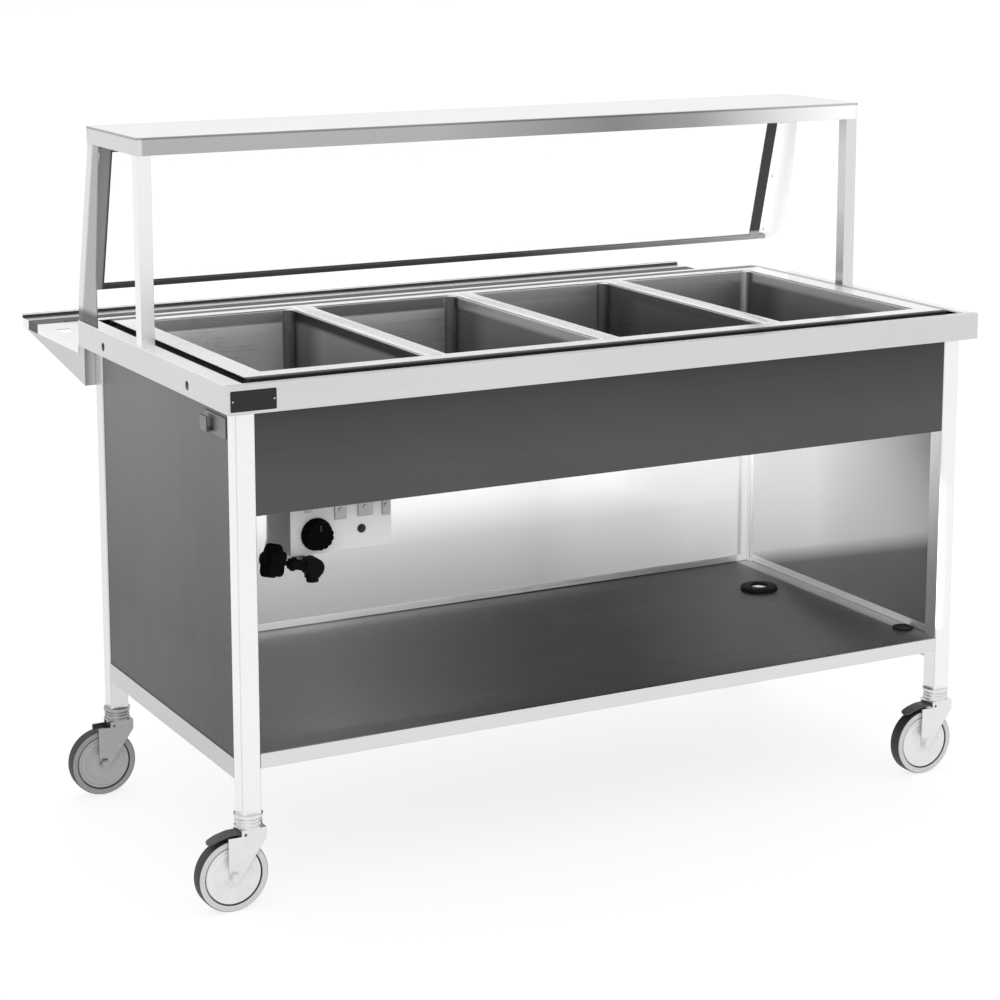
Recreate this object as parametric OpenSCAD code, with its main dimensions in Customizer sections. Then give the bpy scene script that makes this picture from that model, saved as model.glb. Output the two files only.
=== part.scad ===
// Mobile hot food serving counter with four wells, overshelf, sneeze guard and tray slide.
// X runs along the counter, Y from the operator to the customer, Z up from the floor.

/* [Counter top] */
// Length of the counter top
top_l = 1524; // [1300:2:1900]
// Depth of the counter top
top_d = 736; // [660:2:860]
// Height of the counter top above the floor
top_z = 908; // [860:1:950]
// Height of the turned-down fascia
fascia_h = 48; // [36:1:60]
// Thickness of the counter top sheet
deck_t = 2; // [1:0.5:3]
// Width of the flat border at each end of the gutter
border_end = 30; // [26:1:40]
// Width of the flat border in front of and behind the gutter
border_side = 18; // [14:1:24]
// Width of the sunk gutter round the well frame
gutter_w = 18; // [12:1:24]
// Depth of the sunk gutter
gutter_depth = 8; // [4:1:12]
// Radius of the upright corners of the counter top
corner_r = 5; // [2:0.5:8]

/* [Wells] */
// Number of wells
well_n = 4; // [2:1:5]
// Width of the well frame at each end of the row of wells
frame_end = 42.5; // [36:0.5:120]
// Width of the well frame in front of and behind the wells
frame_side = 48; // [42:1:80]
// Depth of a well below its rim
well_depth = 165; // [100:5:180]
// Radius of the upright corners inside a well
well_r = 18; // [12:1:40]
// Sheet thickness of a well
well_t = 1.2; // [0.8:0.1:2]
// Width of an adapter bar between two wells
bar_w = 41; // [30:1:50]
// Height of the well frame above the counter top
frame_rise = 3.5; // [2:0.5:6]
// Sheet thickness of the well frame
frame_t = 1.5; // [1:0.1:2]
// Length of the drain riser line behind the front edge of a well
drain_back = 134; // [60:1:200]

/* [Carcass] */
// Overhang of the counter top beyond the legs at each end
overhang_end = 22; // [10:1:40]
// Overhang of the counter top beyond the legs in front and behind
overhang_side = 29; // [22:1:34]
// Width of a square leg tube
leg_w = 35; // [30:1:40]
// Wall of a leg tube
leg_wall = 1.8; // [1.2:0.1:3]
// Height of the top of the bottom shelf
shelf_z = 273; // [264:1:334]
// Height of the apron's lower edge
apron_z = 681; // [634:1:710]
// Height of the side rails' lower edge
side_rail_z = 224; // [219:1:229]
// Height of a side rail
side_rail_h = 35; // [25:1:38]
// Height of the front and rear rails
cross_rail_h = 25.5; // [20:0.5:40]
// Width of every lower rail
rail_w = 28; // [20:1:30]
// Sheet thickness of panels, liners and bottom shelf
panel_t = 1.2; // [0.8:0.1:2]
// Height of the bottom shelf's turned-up lip
shelf_lip = 15; // [8:1:25]

/* [Overshelf and guard] */
// Height of the top of the overshelf above the counter top
overshelf_rise = 368; // [300:1:450]
// Depth of the overshelf
overshelf_d = 260; // [240:2:262]
// Height of the overshelf's turned-down edge
overshelf_edge = 32; // [20:1:45]
// Distance of the overshelf's far edge from the counter's far edge
overshelf_back = 78; // [70:1:90]
// Width of a near post along the counter
post_w = 25; // [18:1:30]
// Depth of a near post
post_d = 25; // [20:1:30]
// Depth of a far post at its foot
far_post_foot = 100; // [80:1:104]
// Width of a far post's flange
far_flange_w = 20; // [16:1:26]
// Height of the bend of a far post above the counter top
knee_gap = 46; // [30:1:56]
// Thickness of the clear guard panel
guard_t = 6; // [4:0.5:8]
// Height of the guard's lower edge above the counter top
guard_gap = 60; // [58:1:90]

/* [Tray slide] */
// Reach of the tray slide beyond the counter top
slide_reach = 332; // [250:2:360]
// Height of the tray slide below the counter top
slide_drop = 45; // [40:1:46]
// Height of the tray slide's turned-down edge
slide_edge = 18; // [12:1:25]
// Number of raised beads along the tray slide
bead_n = 3; // [2:1:4]
// Height of a bracket where it meets its leg
bracket_h = 75; // [60:1:90]
// Width of the slot near each end of the tray slide
slide_slot_w = 25; // [15:1:30]
// Length of the slot near each end of the tray slide
slide_slot_l = 42; // [30:1:80]
// Distance of the slots from the counter top
slide_slot_y = 128; // [40:1:150]

/* [Controls and drain] */
// Width of the control box
box_w = 187; // [150:1:220]
// Depth of the control box
box_d = 95; // [80:1:110]
// Distance of the control box from the left legs' outer faces
box_x = 111; // [100:1:140]
// Distance of the control box from the front legs' outer faces
box_y = 39; // [36:1:60]
// Height of the control box below the apron's lower edge
box_below = 87; // [80:1:100]
// Diameter of the thermostat knob
knob_dia = 56; // [40:1:62]
// Depth of the thermostat knob
knob_deep = 22; // [16:1:28]
// Outside diameter of the drain pipe
pipe_dia = 21.3; // [18:0.1:27]
// Diameter of the drain valve's handle over its lobes
handle_dia = 60; // [50:1:66]
// Thickness of the drain valve's handle
handle_t = 28; // [20:1:36]
// Tilt of the drain valve's stem above level
stem_tilt = 14; // [0:1:20]

/* [Casters] */
// Diameter of a caster wheel
wheel_dia = 127; // [110:1:130]
// Width of a caster wheel's tread
tread_w = 28; // [24:1:32]
// Thickness of the tyre
tyre_t = 13; // [8:1:18]
// Trail of the wheel behind the swivel axis
trail = 33; // [28:1:38]
// Diameter of the axle
axle_dia = 12; // [8:0.5:14]
// Diameter of the swivel pin
pin_dia = 12; // [8:0.5:16]
// Gap between a wheel and the crown of its fork
crown_gap = 12.6; // [12:0.1:16]
// Height of the cup between a leg and its fork
cup_h = 23; // [18:1:28]
// Running clearance of a pin or axle in its bore
run_gap = 0.05; // [0.02:0.01:0.1]
// Gap between faces that turn past each other
face_gap = 0.4; // [0.3:0.1:0.6]

/* [Hidden] */
$fn = 64;

// Half sizes of the top and of the leg frame
top_x = top_l / 2;
top_y = top_d / 2;
leg_x = top_x - overhang_end;
leg_y = top_y - overhang_side;
leg_in_x = leg_x - leg_w;
leg_in_y = leg_y - leg_w;

// The gutter is sunk into the counter top, and its floor carries the well frame
gutter_t = 1.5;
gutter_l = top_l - 2 * border_end;
gutter_dd = top_d - 2 * border_side;
frame_l = gutter_l - 2 * gutter_w;
frame_d = gutter_dd - 2 * gutter_w;
gutter_floor = top_z - gutter_depth;
leg_top = gutter_floor - gutter_t;

// The openings and bars lie side by side inside the well frame
well_w = (frame_l - 2 * frame_end - (well_n - 1) * bar_w) / well_n;
pitch = well_w + bar_w;
well_d = frame_d - 2 * frame_side;
open_l = well_n * well_w + (well_n - 1) * bar_w;
frame_top = top_z + frame_rise;
well_rim = frame_top - frame_t;
well_flange = 12;
well_floor = well_rim - well_depth;
drain_y = -well_d / 2 + drain_back;

// The housing hangs below the gutter floor, inside the ledge that the floor makes
ledge_w = 36;
ledge_in_l = gutter_l - 2 * ledge_w;
ledge_in_d = gutter_dd - 2 * (ledge_w + 6);
housing_l = ledge_in_l + 12;
housing_d = ledge_in_d + 12;
housing_bottom = apron_z + 13;

// Sheet panels and liners
flange = 15;
top_rail_h = 30;
top_rail_w = 20;
top_rail_z = leg_top - top_rail_h;
liner_x = leg_x - rail_w;
liner_y = leg_y - rail_w + 5;
panel_inset = 2;
shelf_t = 1.5;
side_rail_top = side_rail_z + side_rail_h;
stiffener_w = 50;
stiffener_h = 20;

// Cord hole with its ring, and a smaller plugged hole near the right end
grommet_end = 138;
grommet_back = 224;
grommet_at = [leg_x - grommet_end, leg_y - grommet_back];
grommet_r = 46;
grommet_hole_r = 28;
grommet_bore_r = 22.5;
plug_end = 51;
plug_front = 82;
plug_at = [leg_x - plug_end, -leg_y + plug_front];
plug_r = 20;
plug_hole_r = 15;

// Round holes in both end fascias for joining counters
gang_r = 8;
gang_front = 184;
gang_back = 138;
gang_y = [-top_y + gang_front, top_y - gang_back];
gang_drop = 29;

// Overshelf
overshelf_y = top_y - overshelf_back - overshelf_d;
over_z = top_z + overshelf_rise;
over_t = 1.5;
over_low = over_z - overshelf_edge;
post_x = top_x - over_t - 0.05;
near_post_y = overshelf_y + over_t + 1.5;
far_edge_top = overshelf_y + overshelf_d - over_t - 1.2;
far_foot_y = top_y - 6;
knee_z = top_z + knee_gap;
guard_z = top_z + guard_gap;
far_slope = (far_foot_y - far_edge_top) / (over_low - knee_z);
guard_tilt = atan(far_slope);
post_t = 2;
guard_half = post_x - post_t - 0.3;
guard_low = -(over_low - guard_z) / cos(guard_tilt);
guard_back = post_t * 1.1;
guard_top_gap = 6;
rail_t = 2;
guard_rail_h = 9;
stile_w = 24;

// Tray slide
slide_z = top_z - slide_drop;
slide_t = 1.5;
slide_y = top_y + slide_reach;
slide_lip = 8;
bracket_t = 3;

// Controls
box_x0 = -leg_x + box_x;
box_y0 = -leg_y + box_y;
box_z0 = apron_z - box_below;
plate_t = 2.5;
control_rise = 34;
knob_in = 46.5;
pilot_in = 131;
clip_in = [27, 81, 124.5, 170];
clip_w = [13, 21, 26, 14];
clip_drop = [14, 32, 31, 34];
knob_x = box_x0 + knob_in;
knob_z = box_z0 + control_rise;
pilot_x = box_x0 + pilot_in;
spindle_r = 3;
spindle_l = 14;
thermostat_w = 40;
thermostat_h = 32;
thermostat_d = 34;
collar_r = 5;
pilot_r = 5;
cord_r = 5;

// Drain pipe and valve
pipe_r = pipe_dia / 2;
pipe_bore_r = pipe_r - 2.6;
manifold_z = housing_bottom - 28;
valve_x = box_x0 + 32;
valve_y = box_y0 - 18;
valve_z = box_z0 - 17;
valve_r = 16.5;
valve_len = 28;
outlet_seat = 17.5;
outlet_low = 25.5;
bonnet_r = 9;
bonnet_end = 44;
stem_r = 4;
handle_z = 60;

// Casters
wheel_r = wheel_dia / 2;
axle_r = axle_dia / 2;
pin_r = pin_dia / 2;
hub_r = wheel_r - tyre_t;
hub_len = tread_w + 4;
fork_t = 3;
fork_in = hub_len / 2 + face_gap;
fork_w = 2 * (fork_in + fork_t);
cup_r = 24;
plug_h = 45;
crown_t = 4;
crown_left = -20;
crown_right = 25;
crown_top = wheel_dia + crown_gap + crown_t;
leg_bottom = crown_top + face_gap + cup_h;
fork_eye_r = 11;
pedal_pin_r = 2.5;
pedal_hub_r = 4.5;
pedal_x = -13;
pedal_z = crown_top - crown_t - pedal_hub_r - 0.6;
caster_x = leg_x - leg_w / 2;
caster_y = leg_y - leg_w / 2;

// The origin is on the floor, below the middle of the whole object's box
low_x = min(-top_x, -caster_x - trail - wheel_r);
mid_x = (top_x + low_x) / 2;
mid_y = (slide_y - top_y) / 2;

module placed() {
    translate([-mid_x, -mid_y, 0]) children();
}

// Rectangle with round corners, centred on the origin
module round_rect(l, d, r) {
    square([l - 2 * r, d], center = true);
    square([l, d - 2 * r], center = true);
    for (sx = [-1, 1], sy = [-1, 1])
        translate([sx * (l / 2 - r), sy * (d / 2 - r)]) circle(r);
}

// Flat sheet ring between two centred rectangles
module sheet_ring(l, d, in_l, in_d, r, t) {
    linear_extrude(t) difference() {
        round_rect(l, d, r);
        square([in_l, in_d], center = true);
    }
}

// Upright wall that follows a centred rectangle, measured over its outer faces
module wall_ring(l, d, r, wall, h) {
    linear_extrude(h) difference() {
        round_rect(l, d, r);
        round_rect(l - 2 * wall, d - 2 * wall, max(r - wall, 0.2));
    }
}

// Outline given in Y and Z, carried along X from x0 for a length w
module along_x(x0, w, points) {
    translate([x0, 0, 0]) rotate([90, 0, 90]) linear_extrude(w) polygon(points);
}

// Mirrors a piece to the other end of the counter
module both_ends() {
    children();
    mirror([1, 0, 0]) children();
}

// Rectangular tube along X or Y
module tube_x(x0, x1, y0, z0, w, h, wall) {
    difference() {
        translate([x0, y0, z0]) cube([x1 - x0, w, h]);
        translate([x0 - 1, y0 + wall, z0 + wall]) cube([x1 - x0 + 2, w - 2 * wall, h - 2 * wall]);
    }
}

module tube_y(x0, y0, y1, z0, w, h, wall) {
    difference() {
        translate([x0, y0, z0]) cube([w, y1 - y0, h]);
        translate([x0 + wall, y0 - 1, z0 + wall]) cube([w - 2 * wall, y1 - y0 + 2, h - 2 * wall]);
    }
}

module leg(sx, sy) {
    color("gainsboro") placed() translate([sx * caster_x, sy * caster_y, leg_bottom])
        linear_extrude(leg_top - leg_bottom) difference() {
            round_rect(leg_w, leg_w, 2.5);
            round_rect(leg_w - 2 * leg_wall, leg_w - 2 * leg_wall, 1);
        }
}

module side_rails() {
    color("gainsboro") placed() both_ends()
        tube_y(-leg_x, -leg_in_y, leg_in_y, side_rail_z, rail_w, side_rail_h, leg_wall);
}

// Front and rear rails under the edges of the bottom shelf
module cross_rails() {
    color("gainsboro") placed() for (y0 = [-leg_y, leg_y - rail_w])
        tube_x(-leg_in_x, leg_in_x, y0, shelf_z - shelf_t - cross_rail_h, rail_w, cross_rail_h, leg_wall);
}

// Four tubes that tie the legs together under the gutter floor
module top_frame() {
    color("silver") placed() {
        for (y0 = [-leg_y + 1, leg_y - 1 - top_rail_w])
            tube_x(-leg_in_x, leg_in_x, y0, top_rail_z, top_rail_w, top_rail_h, 2);
        both_ends()
            tube_y(-leg_x, -leg_in_y, leg_in_y, top_rail_z, top_rail_w, top_rail_h, 2);
    }
}

// Shelf sheet with lips turned up against the liners, and two stiffening channels below
module bottom_shelf() {
    side_d = 2 * leg_in_y - 0.4;
    main_l = 2 * leg_in_x - 0.4;
    lip_top = shelf_z + shelf_lip;
    color("dimgray") placed() difference() {
        union() {
            translate([-main_l / 2, -leg_y, shelf_z - shelf_t]) cube([main_l, leg_y + liner_y, shelf_t]);
            translate([-liner_x, -side_d / 2, shelf_z - shelf_t]) cube([2 * liner_x, side_d, shelf_t]);
            translate([-main_l / 2, liner_y - panel_t, shelf_z - shelf_t])
                cube([main_l, panel_t, lip_top - shelf_z + shelf_t]);
            both_ends() translate([-liner_x, -side_d / 2, shelf_z - shelf_t])
                cube([panel_t, side_d, lip_top - shelf_z + shelf_t]);
            for (sx = [-1, 1]) stiffener(sx * leg_in_x / 3);
        }
        for (hole = [[grommet_at, grommet_hole_r], [plug_at, plug_hole_r]])
            translate([hole[0][0], hole[0][1], shelf_z - shelf_t - 1]) cylinder(h = shelf_t + 2, r = hole[1]);
    }
}

// Hat channel across the underside of the bottom shelf
module stiffener(x) {
    span = 2 * (leg_y - rail_w) - 1;
    translate([x - stiffener_w / 2, -span / 2, shelf_z - shelf_t - stiffener_h]) difference() {
        cube([stiffener_w, span, stiffener_h]);
        translate([shelf_t, -1, shelf_t]) cube([stiffener_w - 2 * shelf_t, span + 2, stiffener_h]);
    }
}

// Ring with a round rim round the cord hole, and a plug with a round rim
module shelf_grommets() {
    rim_r = 4.5;
    rim_rise = 2 * rim_r;
    neck = 4;
    color("black") placed() {
        translate([grommet_at[0], grommet_at[1], shelf_z]) rotate_extrude() {
            translate([grommet_r - rim_r, rim_r]) circle(rim_r);
            translate([grommet_bore_r, 0]) square([grommet_r - rim_r - grommet_bore_r, rim_rise]);
            translate([grommet_bore_r, -shelf_t - neck])
                square([grommet_hole_r - 0.3 - grommet_bore_r, shelf_t + neck + 0.5]);
        }
        translate([plug_at[0], plug_at[1], shelf_z]) rotate_extrude() {
            square([plug_r - 2, 4]);
            translate([plug_r - 2, 2]) circle(2);
            translate([0, -shelf_t - neck]) square([plug_hole_r - 0.3, shelf_t + neck + 0.5]);
        }
    }
}

// Folded panel in the X direction: sheet with turned-in flanges on all four edges
module panel_x(half, y, z0, z1, turn) {
    y0 = min(y, y + turn * panel_t);
    f0 = min(y, y + turn * flange);
    translate([-half, y0, z0]) cube([2 * half, panel_t, z1 - z0]);
    translate([-half, f0, z0]) cube([2 * half, flange, panel_t]);
    for (x0 = [-half, half - panel_t]) translate([x0, f0, z0]) cube([panel_t, flange, z1 - z0]);
}

// Folded panel in the Y direction
module panel_y(half, x, z0, z1) {
    translate([x, -half, z0]) cube([panel_t, 2 * half, z1 - z0]);
    translate([x, -half, z0]) cube([flange, 2 * half, panel_t]);
    for (y0 = [-half, half - panel_t]) translate([x, y0, z0]) cube([flange, panel_t, z1 - z0]);
}

module apron() {
    color("dimgray") placed() panel_x(leg_in_x, -leg_y + 1, apron_z, top_rail_z, 1);
}

module panel_rear() {
    color("dimgray") placed() panel_x(leg_in_x, leg_y - panel_inset, shelf_z - shelf_t, top_rail_z, -1);
}

module panel_left() {
    color("gray") placed() panel_y(leg_in_y, -leg_x + panel_inset, side_rail_top, top_rail_z);
}

module panel_right() {
    color("gray") placed() mirror([1, 0, 0])
        panel_y(leg_in_y, -leg_x + panel_inset, side_rail_top, top_rail_z);
}

// Bright inner sheets of both ends and of the rear
module liners() {
    side_d = 2 * leg_in_y - 0.4;
    color("lightgray") placed() {
        both_ends() translate([-liner_x - panel_t, -side_d / 2, side_rail_top])
            cube([panel_t, side_d, leg_top - side_rail_top]);
        translate([-leg_in_x + 0.2, liner_y, shelf_z - shelf_t])
            cube([2 * leg_in_x - 0.4, panel_t, leg_top - shelf_z + shelf_t]);
    }
}

// Deck sheet with fascia, sunk gutter, and round holes in both end fascias for joining counters
module counter_top() {
    color("whitesmoke") placed() difference() {
        union() {
            translate([0, 0, top_z - deck_t]) sheet_ring(top_l, top_d, gutter_l - 2, gutter_dd - 2, corner_r, deck_t);
            translate([0, 0, top_z - fascia_h]) wall_ring(top_l, top_d, corner_r, deck_t, fascia_h);
            translate([0, 0, top_z - fascia_h])
                sheet_ring(top_l - 2 * deck_t, top_d - 2 * deck_t, top_l - 24, top_d - 24, corner_r - deck_t + 0.5,
                    deck_t);
            translate([0, 0, leg_top]) wall_ring(gutter_l, gutter_dd, 4, gutter_t, top_z - leg_top);
            translate([0, 0, leg_top]) sheet_ring(gutter_l, gutter_dd, ledge_in_l, ledge_in_d, 4, gutter_t);
        }
        for (y = gang_y) translate([-top_x - 10, y, top_z - gang_drop]) rotate([0, 90, 0])
            cylinder(h = top_l + 20, r = gang_r);
    }
}

// Drop-in frame round the wells, with a turned-down rim that stands on the gutter floor
module well_frame() {
    color("white") placed() {
        translate([0, 0, frame_top - frame_t]) sheet_ring(frame_l, frame_d, open_l, well_d, 4, frame_t);
        translate([0, 0, gutter_floor]) wall_ring(frame_l, frame_d, 4, frame_t, frame_top - gutter_floor);
    }
}

// Bars with a crowned top that lie on the flanges between two wells
module adapter_bars() {
    bar_h = frame_t + 2.5;
    crown = 90;
    color("white") placed() for (i = [1 : well_n - 1])
        translate([(i - well_n / 2) * pitch, 0, well_rim]) intersection() {
            translate([-bar_w / 2, -well_d / 2 + 0.2, 0]) cube([bar_w, well_d - 0.4, bar_h]);
            translate([0, 0, bar_h - crown]) rotate([90, 0, 0])
                cylinder(h = well_d, r = crown, center = true, $fn = 128);
        }
}

// Drawn well with round upright corners, an outer flange and a drain hole
module well(i) {
    x = (i - (well_n - 1) / 2) * pitch;
    flange_l = min(well_w + 2 * well_flange, pitch - 1);
    color("silver") placed() translate([x, 0, well_floor]) difference() {
        union() {
            translate([0, 0, -well_t]) linear_extrude(well_depth + well_t)
                round_rect(well_w + 2 * well_t, well_d + 2 * well_t, well_r + well_t);
            translate([0, 0, well_depth - well_t]) linear_extrude(well_t)
                round_rect(flange_l, well_d + 2 * well_flange, 4);
        }
        linear_extrude(well_depth + 1) round_rect(well_w, well_d, well_r);
        translate([0, drain_y, -well_t - 1]) cylinder(h = well_t + 2, r = pipe_bore_r);
    }
}

// Loop of tubular heater under each well: two straight runs joined by half rings
module heating_elements() {
    tube_r = 4;
    turn_r = 55;
    far_y = well_d / 2 - turn_r - 12;
    near_y = drain_y + pipe_r + turn_r + 20;
    run = far_y - near_y;
    z = well_floor - well_t - tube_r - 0.3;
    color("dimgray") placed() for (i = [0 : well_n - 1])
        translate([(i - (well_n - 1) / 2) * pitch, (far_y + near_y) / 2, z]) {
            for (sx = [-1, 1]) translate([sx * turn_r, 0, 0]) rotate([90, 0, 0])
                cylinder(h = run, r = tube_r, center = true);
            for (s = [0, 180]) rotate([0, 0, s]) translate([0, run / 2, 0])
                rotate_extrude(angle = 180) translate([turn_r, 0]) circle(tube_r);
            for (sx = [-1, 1]) translate([sx * 20, run / 2 + turn_r - 6, -10]) cube([8, 16, 14], center = true);
        }
}

// Sheet housing below the wells, open at the top, with a hole for each drain riser
module well_housing() {
    color("darkgray") placed() difference() {
        translate([0, 0, housing_bottom]) linear_extrude(leg_top - housing_bottom)
            round_rect(housing_l, housing_d, 4);
        translate([0, 0, housing_bottom + panel_t]) linear_extrude(leg_top - housing_bottom)
            round_rect(housing_l - 2 * panel_t, housing_d - 2 * panel_t, 3);
        for (i = [0 : well_n - 1])
            translate([(i - (well_n - 1) / 2) * pitch, drain_y, housing_bottom - 1])
                cylinder(h = panel_t + 2, r = pipe_r + 0.3);
    }
}

// Drain pipe run: risers from the wells, a level main, a drop behind the control box and a run to the valve
module pipe_run(r, grow) {
    last_x = (well_n - 1) / 2 * pitch;
    translate([valve_x, drain_y, manifold_z]) rotate([0, 90, 0]) cylinder(h = last_x - valve_x, r = r);
    for (i = [0 : well_n - 1])
        translate([(i - (well_n - 1) / 2) * pitch, drain_y, manifold_z])
            cylinder(h = well_floor - well_t - manifold_z + grow, r = r);
    translate([valve_x, drain_y, valve_z]) cylinder(h = manifold_z - valve_z, r = r);
    translate([valve_x, drain_y, valve_z]) rotate([90, 0, 0])
        cylinder(h = drain_y - valve_y - valve_len / 2 + grow, r = r);
    for (z = [manifold_z, valve_z]) translate([valve_x, drain_y, z]) sphere(r);
    translate([last_x, drain_y, manifold_z]) sphere(r);
}

module drain_manifold() {
    color("silver") placed() difference() {
        union() {
            pipe_run(pipe_r, 0);
            for (z = [manifold_z, valve_z]) translate([valve_x, drain_y, z]) sphere(pipe_r + 3);
        }
        pipe_run(pipe_bore_r, 1);
    }
}

// Valve body with a bonnet to the left, and its outlet nipple pointing down from a round seat
module valve_body() {
    lip = 3;
    nut_h = 8;
    stem_deep = 22;
    color("black") placed() translate([valve_x, valve_y, valve_z]) difference() {
        union() {
            rotate([90, 0, 0]) cylinder(h = valve_len, r = valve_r, center = true);
            translate([0, -valve_len / 2, 0]) rotate([90, 0, 0])
                cylinder(h = lip, r1 = valve_r, r2 = valve_r - lip - 2);
            translate([0, 0, -outlet_seat]) cylinder(h = outlet_seat, r = pipe_r + 3);
            translate([0, 0, -outlet_low]) cylinder(h = outlet_low, r = pipe_r);
            rotate([0, stem_tilt - 90, 0]) {
                cylinder(h = bonnet_end, r = bonnet_r);
                translate([0, 0, bonnet_end - nut_h - 4]) cylinder(h = nut_h, r = bonnet_r + 3, $fn = 6);
            }
        }
        rotate([-90, 0, 0]) cylinder(h = valve_len, r = pipe_bore_r);
        translate([0, 0, -outlet_low - 1]) cylinder(h = outlet_low + 1, r = pipe_bore_r);
        rotate([0, stem_tilt - 90, 0]) translate([0, 0, bonnet_end - stem_deep])
            cylinder(h = stem_deep + 1, r = stem_r + run_gap);
    }
}

// Lobed handle with the stem that turns in the bonnet
module valve_handle() {
    lobe_n = 5;
    lobe_r = 10.5;
    rim = handle_dia / 2;
    color("black") placed() translate([valve_x, valve_y, valve_z]) rotate([0, stem_tilt - 90, 0]) {
        translate([0, 0, bonnet_end - 20]) cylinder(h = handle_z - bonnet_end + 22, r = stem_r);
        translate([0, 0, handle_z - 6]) cylinder(h = 8, r1 = 9, r2 = 14);
        translate([0, 0, handle_z]) cylinder(h = handle_t, r = rim - lobe_r + 3);
        for (k = [0 : lobe_n - 1]) rotate([0, 0, k * 360 / lobe_n + 90])
            translate([rim - lobe_r, 0, handle_z]) cylinder(h = handle_t, r = lobe_r);
        translate([0, 0, handle_z + handle_t]) cylinder(h = 3, r1 = 14, r2 = 11);
    }
}

// Folded box open to the front, with a cord gland in its back
module control_box() {
    wall = panel_t;
    gland_x = box_x0 + box_w - 28;
    gland_z = box_z0 + 26;
    gland_l = 15;
    nut_h = 6;
    color("gray") placed() {
        difference() {
            translate([box_x0, box_y0, box_z0]) cube([box_w, box_d, housing_bottom - box_z0]);
            translate([box_x0 + wall, box_y0 - 1, box_z0 + wall])
                cube([box_w - 2 * wall, box_d + 1 - wall, housing_bottom - box_z0 - 2 * wall]);
            translate([gland_x, box_y0 + box_d - wall - 1, gland_z]) rotate([-90, 0, 0])
                cylinder(h = wall + 2, r = cord_r);
        }
        translate([gland_x, box_y0 + box_d, gland_z]) rotate([-90, 0, 0]) difference() {
            union() {
                cylinder(h = nut_h, r = cord_r + 6, $fn = 6);
                cylinder(h = gland_l, r = cord_r + 3);
            }
            translate([0, 0, -1]) cylinder(h = gland_l + 2, r = cord_r);
        }
    }
}

module control_plate() {
    color("white") placed() difference() {
        translate([box_x0, box_y0 - plate_t, box_z0]) cube([box_w, plate_t, housing_bottom - box_z0]);
        translate([knob_x, box_y0 + 1, knob_z]) rotate([90, 0, 0])
            cylinder(h = plate_t + 2, r = collar_r);
        translate([pilot_x, box_y0 + 1, knob_z]) rotate([90, 0, 0])
            cylinder(h = plate_t + 2, r = pilot_r + 0.3);
    }
}

// Thermostat behind the plate, with the bore that its spindle turns in
module thermostat() {
    color("lightgray") placed() translate([knob_x, box_y0, knob_z]) difference() {
        union() {
            translate([-thermostat_w / 2, 0, -thermostat_h / 2]) cube([thermostat_w, thermostat_d, thermostat_h]);
            rotate([90, 0, 0]) cylinder(h = plate_t - 0.2, r = collar_r - 0.2);
        }
        translate([0, spindle_l + 2, 0]) rotate([90, 0, 0])
            cylinder(h = spindle_l + plate_t + 4, r = spindle_r + run_gap);
    }
}

// Fluted knob with a skirt and a pointer ridge, on the thermostat spindle
module thermostat_knob() {
    flutes = 14;
    flute_r = 3.2;
    taper = 1.2;
    grip_r = knob_dia / 2 - 3;
    skirt_h = 5;
    base = plate_t + face_gap;
    pointer_w = 3;
    pointer_in = 8;
    color("black") placed() translate([knob_x, box_y0 - base, knob_z]) rotate([90, 0, 0]) {
        cylinder(h = skirt_h, r = knob_dia / 2);
        difference() {
            translate([0, 0, skirt_h]) cylinder(h = knob_deep - skirt_h, r1 = grip_r, r2 = grip_r - taper);
            for (k = [0 : flutes - 1]) rotate([0, 0, (k + 0.5) * 360 / flutes])
                translate([grip_r + 1, 0, skirt_h]) cylinder(h = knob_deep, r = flute_r);
        }
        translate([-pointer_w / 2, pointer_in, knob_deep]) cube([pointer_w, grip_r - pointer_in - 3, 1.2]);
        translate([0, 0, -base - spindle_l]) cylinder(h = base + spindle_l + 1, r = spindle_r);
    }
}

module pilot_light() {
    body_l = 14;
    bezel_t = 1.5;
    color("darkred") placed() translate([pilot_x, box_y0 - plate_t, knob_z]) rotate([90, 0, 0]) {
        translate([0, 0, -plate_t - body_l]) cylinder(h = plate_t + body_l, r = pilot_r);
        cylinder(h = bezel_t, r = pilot_r + 2.5);
        translate([0, 0, bezel_t]) cylinder(h = 4, r1 = pilot_r + 0.5, r2 = pilot_r - 1);
    }
}

// Clips that hold the upper edge of the control plate
module plate_clips() {
    clip_t = 3;
    stud_r = 4;
    color("gray") placed() for (k = [0 : len(clip_in) - 1]) {
        clip_z = apron_z - clip_drop[k];
        translate([box_x0 + clip_in[k], box_y0 - plate_t - clip_t, clip_z]) {
            cube([clip_w[k], clip_t, housing_bottom - clip_z]);
            translate([clip_w[k] / 2, 0, clip_drop[k] / 2]) rotate([90, 0, 0]) cylinder(h = clip_t / 2, r = stud_r);
        }
    }
}

// Inverted tray of sheet with an edge turned down all round
module overshelf() {
    color("whitesmoke") placed() translate([0, overshelf_y + overshelf_d / 2, over_low]) {
        translate([0, 0, overshelf_edge - over_t]) linear_extrude(over_t) round_rect(top_l, overshelf_d, 3);
        wall_ring(top_l, overshelf_d, 3, over_t, overshelf_edge);
    }
}

// Upright square tubes under the near edge of the overshelf
module near_posts() {
    color("gainsboro") placed() both_ends()
        translate([-post_x, near_post_y, top_z]) difference() {
            cube([post_w, post_d, over_z - over_t - top_z]);
            translate([post_t, post_t, -1])
                cube([post_w - 2 * post_t, post_d - 2 * post_t, over_z - over_t - top_z + 2]);
        }
}

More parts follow.
